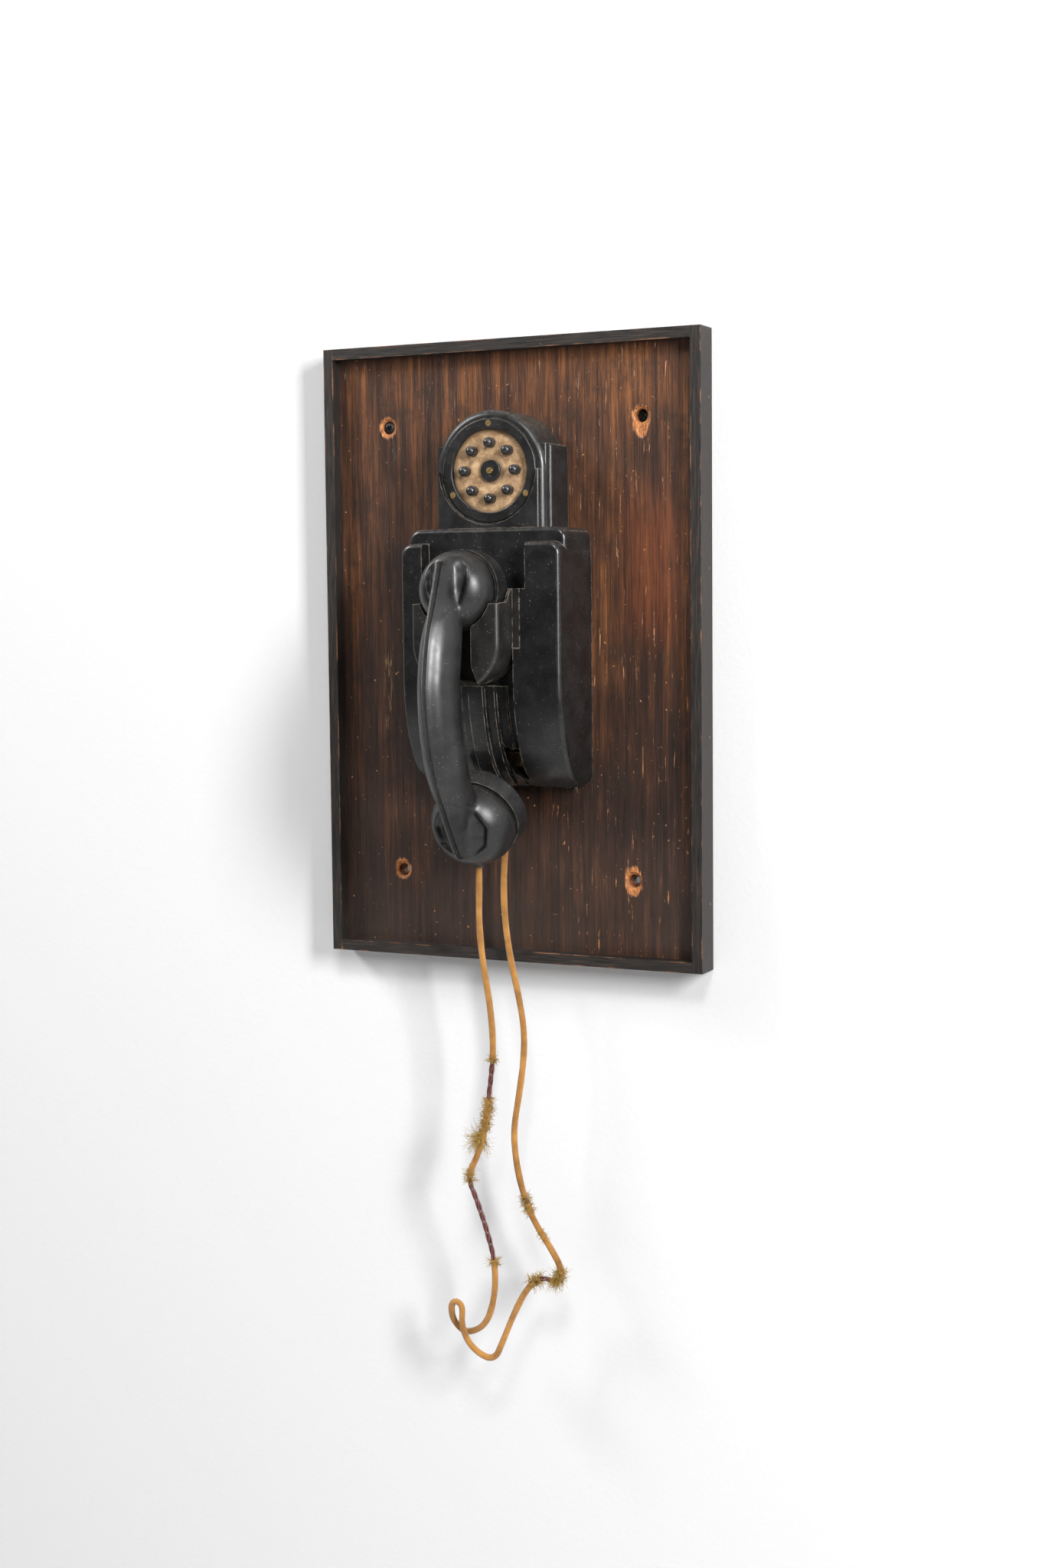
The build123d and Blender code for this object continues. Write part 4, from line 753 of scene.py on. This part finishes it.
# Keel: height and depth, as in the CAD sections
KEEL = (
    (-145.0, 96.5), (-139.3, 102.0), (-128.0, 109.5), (-118.0, 116.6), (-106.0, 123.2), (-97.7, 127.6),
    (-80.0, 136.6), (-65.0, 141.4), (-50.0, 145.0), (-35.0, 147.0), (-20.0, 147.4), (-5.0, 145.6),
    (10.0, 142.3), (30.0, 135.6), (50.0, 127.6), (60.0, 124.0), (66.0, 121.5),
)
# Handle: height, depth of its front, back depth, half width
HANDLE = (
    (64.0, 106.0, 96.0, 2.5), (54.0, 112.0, 94.5, 5.0), (42.0, 120.0, 94.5, 8.5), (28.0, 129.0, 97.5, 12.2),
    (10.0, 136.2, 102.0, 14.3), (-20.0, 141.2, 107.0, 14.4), (-50.0, 138.8, 105.0, 14.8),
    (-80.0, 130.3, 97.0, 15.4), (-100.0, 119.5, 86.0, 15.0), (-114.0, 108.5, 79.0, 10.5),
    (-128.0, 96.0, 73.0, 5.5), (-140.0, 86.0, 70.0, 3.0),
)
EAR_Z = 46.3
# Bells: radius, and place on the axis, counted from the wall and from MOUTH_CENTRE
EAR_BELL = (
    (27.6, 84.7), (28.3, 92.0), (27.2, 98.0), (24.5, 103.5),
    (20.0, 108.0), (13.0, 111.5), (6.5, 112.7), (0.0, 113.0),
)
MOUTH_CENTRE = np.array((HANDSET_X, -64.1, -118.0))
MOUTH_OUT = np.array((0.0, math.cos(math.radians(30.0)), math.sin(math.radians(30.0))))
MOUTH_BELL = (
    (31.4, 0.0), (32.2, 8.0), (30.0, 16.0), (27.6, 20.8), (24.0, 25.0),
    (18.6, 28.9), (12.0, 31.5), (6.0, 32.7), (0.0, 33.0),
)


def smooth_table(rows, at, spread):
    """Each column of a table read at even steps and eased over its corners."""
    rows = sorted(rows)
    heights = [row[0] for row in rows]
    step = at[1] - at[0]
    reach = np.arange(-3 * spread, 3 * spread + step, step)
    weight = np.exp(-0.5 * (reach / spread) ** 2)
    weight /= weight.sum()
    columns = []
    for k in range(1, len(rows[0])):
        values = np.interp(at, heights, [row[k] for row in rows])
        first, last = values[0], values[-1]
        padded = np.concatenate((np.full(len(reach) // 2, first), values, np.full(len(reach) // 2, last)))
        eased = np.convolve(padded, weight, mode="valid")[: len(at)]
        fade = np.clip(np.minimum(at - at[0], at[-1] - at) / (2 * spread), 0, 1)
        columns.append(values * (1 - fade) + eased * fade)
    return columns


def skin(rings):
    """Points and faces of closed rings, one after another, capped at both ends."""
    count = len(rings[0])
    points = [p for ring in rings for p in ring]
    faces = []
    for i in range(len(rings) - 1):
        for k in range(count):
            n = (k + 1) % count
            faces.append((i * count + k, i * count + n, (i + 1) * count + n, (i + 1) * count + k))
    faces.append(tuple(range(count))[::-1])
    faces.append(tuple((len(rings) - 1) * count + k for k in range(count)))
    return points, faces


def handle_rings():
    at = np.arange(-140.0, 64.01, 1.5)
    fronts, backs, halves = smooth_table(HANDLE, at, 7.0)
    rings = []
    for z, front, back, half in zip(at, fronts, backs, halves):
        shoulder = back + 0.34 * (front - back)
        right = []
        for t in np.linspace(0.0, 1.0, 14):
            turn = t * math.pi / 2
            rise = (front - shoulder) * math.cos(turn) ** 1.15
            right.append((half * math.sin(turn) ** 0.86, shoulder + rise))
        for t in np.linspace(0.12, 1.0, 9)[:-1]:
            turn = t * math.pi / 2
            right.append((half * math.cos(turn), shoulder - (shoulder - back) * math.sin(turn)))
        ring = [(HANDSET_X + x, -depth, z) for x, depth in right] + [(HANDSET_X, -back, z)]
        ring += [(HANDSET_X - x, -depth, z) for x, depth in reversed(right[1:])]
        rings.append(ring)
    return rings


def keel_rings(flare):
    """The keel down the front: its wide concave root, or the thin crest that stands on that."""
    at = np.arange(-145.0, 66.01, 1.0)
    depths = smooth_table(KEEL, at, 6.0)[0]
    heights = (-145, -132, -118, -98, -80, 0, 22, 40, 56, 66)
    spreads = np.interp(at, heights, (2.5, 5, 6, 5.6, 4.6, 4.4, 5, 5.5, 5, 3))
    rings = []
    for z, depth, spread in zip(at, depths, spreads):
        if flare:
            right = []
            for t in np.linspace(0.0, 1.0, 10):
                right.append((0.5 + spread * t, depth - 1.5 - 8.5 * math.sin(t * math.pi / 2) ** 0.9))
            right.append((0.5 + spread, depth - 15.0))
        else:
            fall = min(1.0, (z + 145.5) / 5.0, (66.6 - z) / 3.0)
            top = depth - 1.5 * (1 - fall) ** 2
            right = [(0.25, top), (0.55, top - 0.25), (0.75, top - 1.2), (1.1, top - 3.0), (1.6, top - 5.5)]
        ring = [(HANDSET_X + x, -d, z) for x, d in right]
        ring += [(HANDSET_X - x, -d, z) for x, d in reversed(right)]
        rings.append(ring)
    return rings


def turned_rings(profile, place, count=72):
    """Rings of a turned form. place gives the point for a radius, a position on the axis and an angle."""
    rings = []
    for r, s in profile:
        rings.append([place(max(r, 0.4), s, 2 * math.pi * k / count) for k in range(count)])
    return rings


def ear_place(r, d, turn):
    return (HANDSET_X + r * math.cos(turn), -d, EAR_Z + r * math.sin(turn))


def mouth_place(r, s, turn):
    side = np.array((1.0, 0.0, 0.0))
    up = np.cross(MOUTH_OUT, side)
    return tuple(MOUTH_CENTRE - MOUTH_OUT * s + r * (math.cos(turn) * side + math.sin(turn) * up))


def laplace(mesh, co, weight, rounds):
    """Evens a mesh out, by weight at each point."""
    edges = np.empty(len(mesh.edges) * 2, np.int64)
    mesh.edges.foreach_get("vertices", edges)
    a, b = edges[0::2], edges[1::2]
    near = np.bincount(a, minlength=len(co)) + np.bincount(b, minlength=len(co))
    for _ in range(rounds):
        sums = [np.bincount(a, co[b, k], len(co)) + np.bincount(b, co[a, k], len(co)) for k in range(3)]
        total = np.stack(sums, axis=1)
        co = co + weight[:, None] * (total / near[:, None] - co) * 0.6
    return co


def make_handset():
    points, faces = [], []
    for rings in (
        handle_rings(),
        keel_rings(True),
        turned_rings(EAR_BELL, ear_place),
        turned_rings(MOUTH_BELL, mouth_place),
    ):
        more_points, more_faces = skin(rings)
        faces += [tuple(i + len(points) for i in face) for face in more_faces]
        points += more_points
    raw = new_piece("handset_raw", in_metres(points), faces, HANDSET)
    shell = bmesh.new()
    shell.from_mesh(raw.data)
    bmesh.ops.recalc_face_normals(shell, faces=shell.faces)
    shell.to_mesh(raw.data)
    shell.free()
    remesh = raw.modifiers.new("even", "REMESH")
    remesh.mode = "VOXEL"
    remesh.voxel_size = 0.75 * MM
    depsgraph = bpy.context.evaluated_depsgraph_get()
    mesh = bpy.data.meshes.new_from_object(raw.evaluated_get(depsgraph))
    bpy.data.objects.remove(raw)
    co = np.empty(len(mesh.vertices) * 3)
    mesh.vertices.foreach_get("co", co)
    co = co.reshape(-1, 3) / MM
    co = laplace(mesh, co, np.ones(len(co)), 64)
    # scooped cheeks on both bells, each side of the keel
    off = np.abs(co[:, 0] - HANDSET_X)
    z = co[:, 2]
    ear_edge = np.interp(z, (20, 26, 36, 45, 53, 61, 68, 74), (3.0, 7.0, 13.0, 16.0, 17.5, 17.0, 13.0, 7.0))
    ear_deep = np.interp(z, (20, 30, 46, 58, 68, 74), (0, 1.8, 5.4, 4.8, 1.6, 0))
    mouth_heights = (-147, -141, -135, -122, -110, -103, -98)
    mouth_edge = np.interp(z, mouth_heights, (7.0, 13.0, 20.0, 22.0, 14.0, 8.0, 5.0))
    mouth_deep = np.interp(z, (-150, -140, -128, -116, -104, -97), (0, 3.0, 6.6, 6.4, 2.4, 0))
    for edge, deep, start in ((ear_edge, ear_deep, 88.0), (mouth_edge, mouth_deep, 66.0)):
        inward = np.clip((edge - off) / 5.0, 0, 1)
        inward = inward * inward * (3 - 2 * inward)
        outward = np.clip((off - 0.5) / 5.0, 0, 1)
        co[:, 1] += deep * np.clip((-co[:, 1] - start) / 8.0, 0, 1) * inward * outward
    co = laplace(mesh, co, np.ones(len(co)), 10)
    mesh.vertices.foreach_set("co", (co * MM).ravel())
    mesh.update()
    for polygon in mesh.polygons:
        polygon.use_smooth = True
    mesh.materials.clear()
    mesh.materials.append(HANDSET)
    piece = bpy.data.objects.new("handset_shell", mesh)
    bpy.context.scene.collection.objects.link(piece)
    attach(piece, "handset")
    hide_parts("handset_body")
    points, faces = skin(keel_rings(False))
    new_piece("handset_keel", in_metres(points), faces, CREST, "handset")


make_handset()


# ---------------------------------------------------------------- key springs
SPRING_WIRE = 0.22 * MM
SPRING_TURNS = 6


def make_key_spring(number):
    """Coil behind a key, in the box of the key's spring part."""
    low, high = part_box(f"key_spring_{number}")
    centre = (Vector(low) + Vector(high)) / 2
    reach = (high[0] - low[0]) / 2 - SPRING_WIRE
    length = high[1] - low[1] - 2 * SPRING_WIRE
    steps = 20 * SPRING_TURNS
    rings = []
    for i in range(steps + 1):
        t = i / steps
        turn = 2 * math.pi * SPRING_TURNS * t
        out = Vector((math.cos(turn), 0.0, math.sin(turn)))
        middle = Vector((centre.x, low[1] + SPRING_WIRE + length * t, centre.z)) + out * reach
        rings.append([
            tuple(middle + SPRING_WIRE * (math.cos(a) * out + math.sin(a) * Vector((0, 1, 0))))
            for a in (2 * math.pi * k / 8 for k in range(8))
        ])
    points, faces = skin(rings)
    spring = new_piece(f"spring_coil_{number}", points, faces, SPRING, "base")
    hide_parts(f"key_spring_{number}")
    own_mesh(spring)


for number in range(1, 9):
    make_key_spring(number)


# ---------------------------------------------------------------- wall screws in the upper holes
WALL_SCREW_RADIUS = 4.1


def make_wall_screw(name, x, z, sunk, twist):
    """Domed head with a crossed recess. sunk is how deep it sits below the panel's front."""
    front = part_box("back_panel")[0][1] / MM
    rings = []
    for r in (WALL_SCREW_RADIUS, WALL_SCREW_RADIUS, 3.9, 3.5, 3.0, 2.5, 2.1, 1.7, 1.3, 0.9, 0.55, 0.2):
        ring = []
        for k in range(64):
            turn = 2 * math.pi * k / 64
            dome = 1.5 * (1 - (r / WALL_SCREW_RADIUS) ** 2) ** 0.7
            a, b = r * math.cos(turn - twist), r * math.sin(turn - twist)
            if min(abs(a), abs(b)) < 0.5 and r < 2.4:
                dome -= 1.5
            ring.append((x + r * math.cos(turn), front + sunk - dome, z + r * math.sin(turn)))
        rings.append(ring)
    rings[0] = [(px, front + sunk + 2.0, pz) for px, _, pz in rings[0]]
    points, faces = skin(rings)
    new_piece(name, in_metres(points), faces, BLACK_STEEL, "base", False)


make_wall_screw("wall_screw_left", *HOLES[0], 2.6, 0.35)
make_wall_screw("wall_screw_right", *HOLES[1], 5.8, 0.9)


# ---------------------------------------------------------------- stage and light
def stage_material(name, color):
    """Pale wall: seen and lit from the front, clear from behind so that the back can be looked at."""
    material = bpy.data.materials.new(name)
    material.use_nodes = True
    tree = material.node_tree
    tree.nodes.clear()
    out = tree.nodes.new("ShaderNodeOutputMaterial")
    mixer = tree.nodes.new("ShaderNodeMixShader")
    clear = tree.nodes.new("ShaderNodeBsdfTransparent")
    paint = tree.nodes.new("ShaderNodeBsdfPrincipled")
    geometry = tree.nodes.new("ShaderNodeNewGeometry")
    coords = tree.nodes.new("ShaderNodeTexCoord")
    noise = tree.nodes.new("ShaderNodeTexNoise")
    bump = tree.nodes.new("ShaderNodeBump")
    noise.inputs["Scale"].default_value = 260.0
    noise.inputs["Detail"].default_value = 4.0
    bump.inputs["Distance"].default_value = 0.0006
    bump.inputs["Strength"].default_value = 0.25
    paint.inputs["Base Color"].default_value = (*color, 1.0)
    paint.inputs["Roughness"].default_value = 0.8
    tree.links.new(coords.outputs["Object"], noise.inputs["Vector"])
    tree.links.new(noise.outputs["Fac"], bump.inputs["Height"])
    tree.links.new(bump.outputs["Normal"], paint.inputs["Normal"])
    tree.links.new(geometry.outputs["Backfacing"], mixer.inputs[0])
    tree.links.new(paint.outputs[0], mixer.inputs[1])
    tree.links.new(clear.outputs[0], mixer.inputs[2])
    tree.links.new(mixer.outputs[0], out.inputs["Surface"])
    return material


def stage_plane(name, corners, material):
    mesh = bpy.data.meshes.new(name)
    mesh.from_pydata(corners, [], [(0, 1, 2, 3)])
    mesh.materials.append(material)
    plane = bpy.data.objects.new(name, mesh)
    bpy.context.scene.collection.objects.link(plane)
    return plane


def area_light(name, place, target, size, power, color=(1.0, 1.0, 1.0)):
    data = bpy.data.lights.new(name, "AREA")
    data.shape = "RECTANGLE"
    data.size, data.size_y = size
    data.energy = power
    data.color = color
    lamp = bpy.data.objects.new(name, data)
    lamp.location = place
    lamp.rotation_euler = (Vector(target) - Vector(place)).to_track_quat("-Z", "Y").to_euler()
    bpy.context.scene.collection.objects.link(lamp)


PLASTER = stage_material("plaster", (0.50, 0.50, 0.505))
FLOOR = stage_material("pale_floor", (0.62, 0.61, 0.60))
# the wall has a gap behind the board, where the light from behind reaches the board's back
for name, (x0, x1, z0, z1) in {
    "stage_wall_left": (-5.0, -0.145, -1.3, 3.0),
    "stage_wall_right": (0.145, 5.0, -1.3, 3.0),
    "stage_wall_low": (-0.145, 0.145, -1.3, -0.22),
    "stage_wall_high": (-0.145, 0.145, 0.22, 3.0),
}.items():
    stage_plane(name, [(x0, 0.001, z0), (x1, 0.001, z0), (x1, 0.001, z1), (x0, 0.001, z1)], PLASTER)
stage_plane("stage_floor", [(-5, -6, -1.3), (5, -6, -1.3), (5, 0.001, -1.3), (-5, 0.001, -1.3)], FLOOR)
area_light("key_light", (-2.3, -1.3, 1.9), (0.0, 0.0, -0.05), (0.9, 0.9), 100.0)
area_light("top_fill", (0.9, -2.2, 2.2), (0.0, 0.0, 0.0), (0.8, 0.6), 60.0)
area_light("right_softbox", (2.1, -1.45, 0.75), (0.0, -0.05, 0.0), (0.4, 1.0), 128.0)
area_light("back_light", (1.2, 2.2, 1.2), (0.0, 0.0, 0.0), (1.2, 1.2), 60.0)
world = bpy.data.worlds.new("studio")
world.use_nodes = True
world.node_tree.nodes["Background"].inputs["Color"].default_value = (0.94, 0.97, 1.0, 1.0)
world.node_tree.nodes["Background"].inputs["Strength"].default_value = 0.17
bpy.context.scene.world = world
bpy.context.scene.view_settings.view_transform = "Standard"
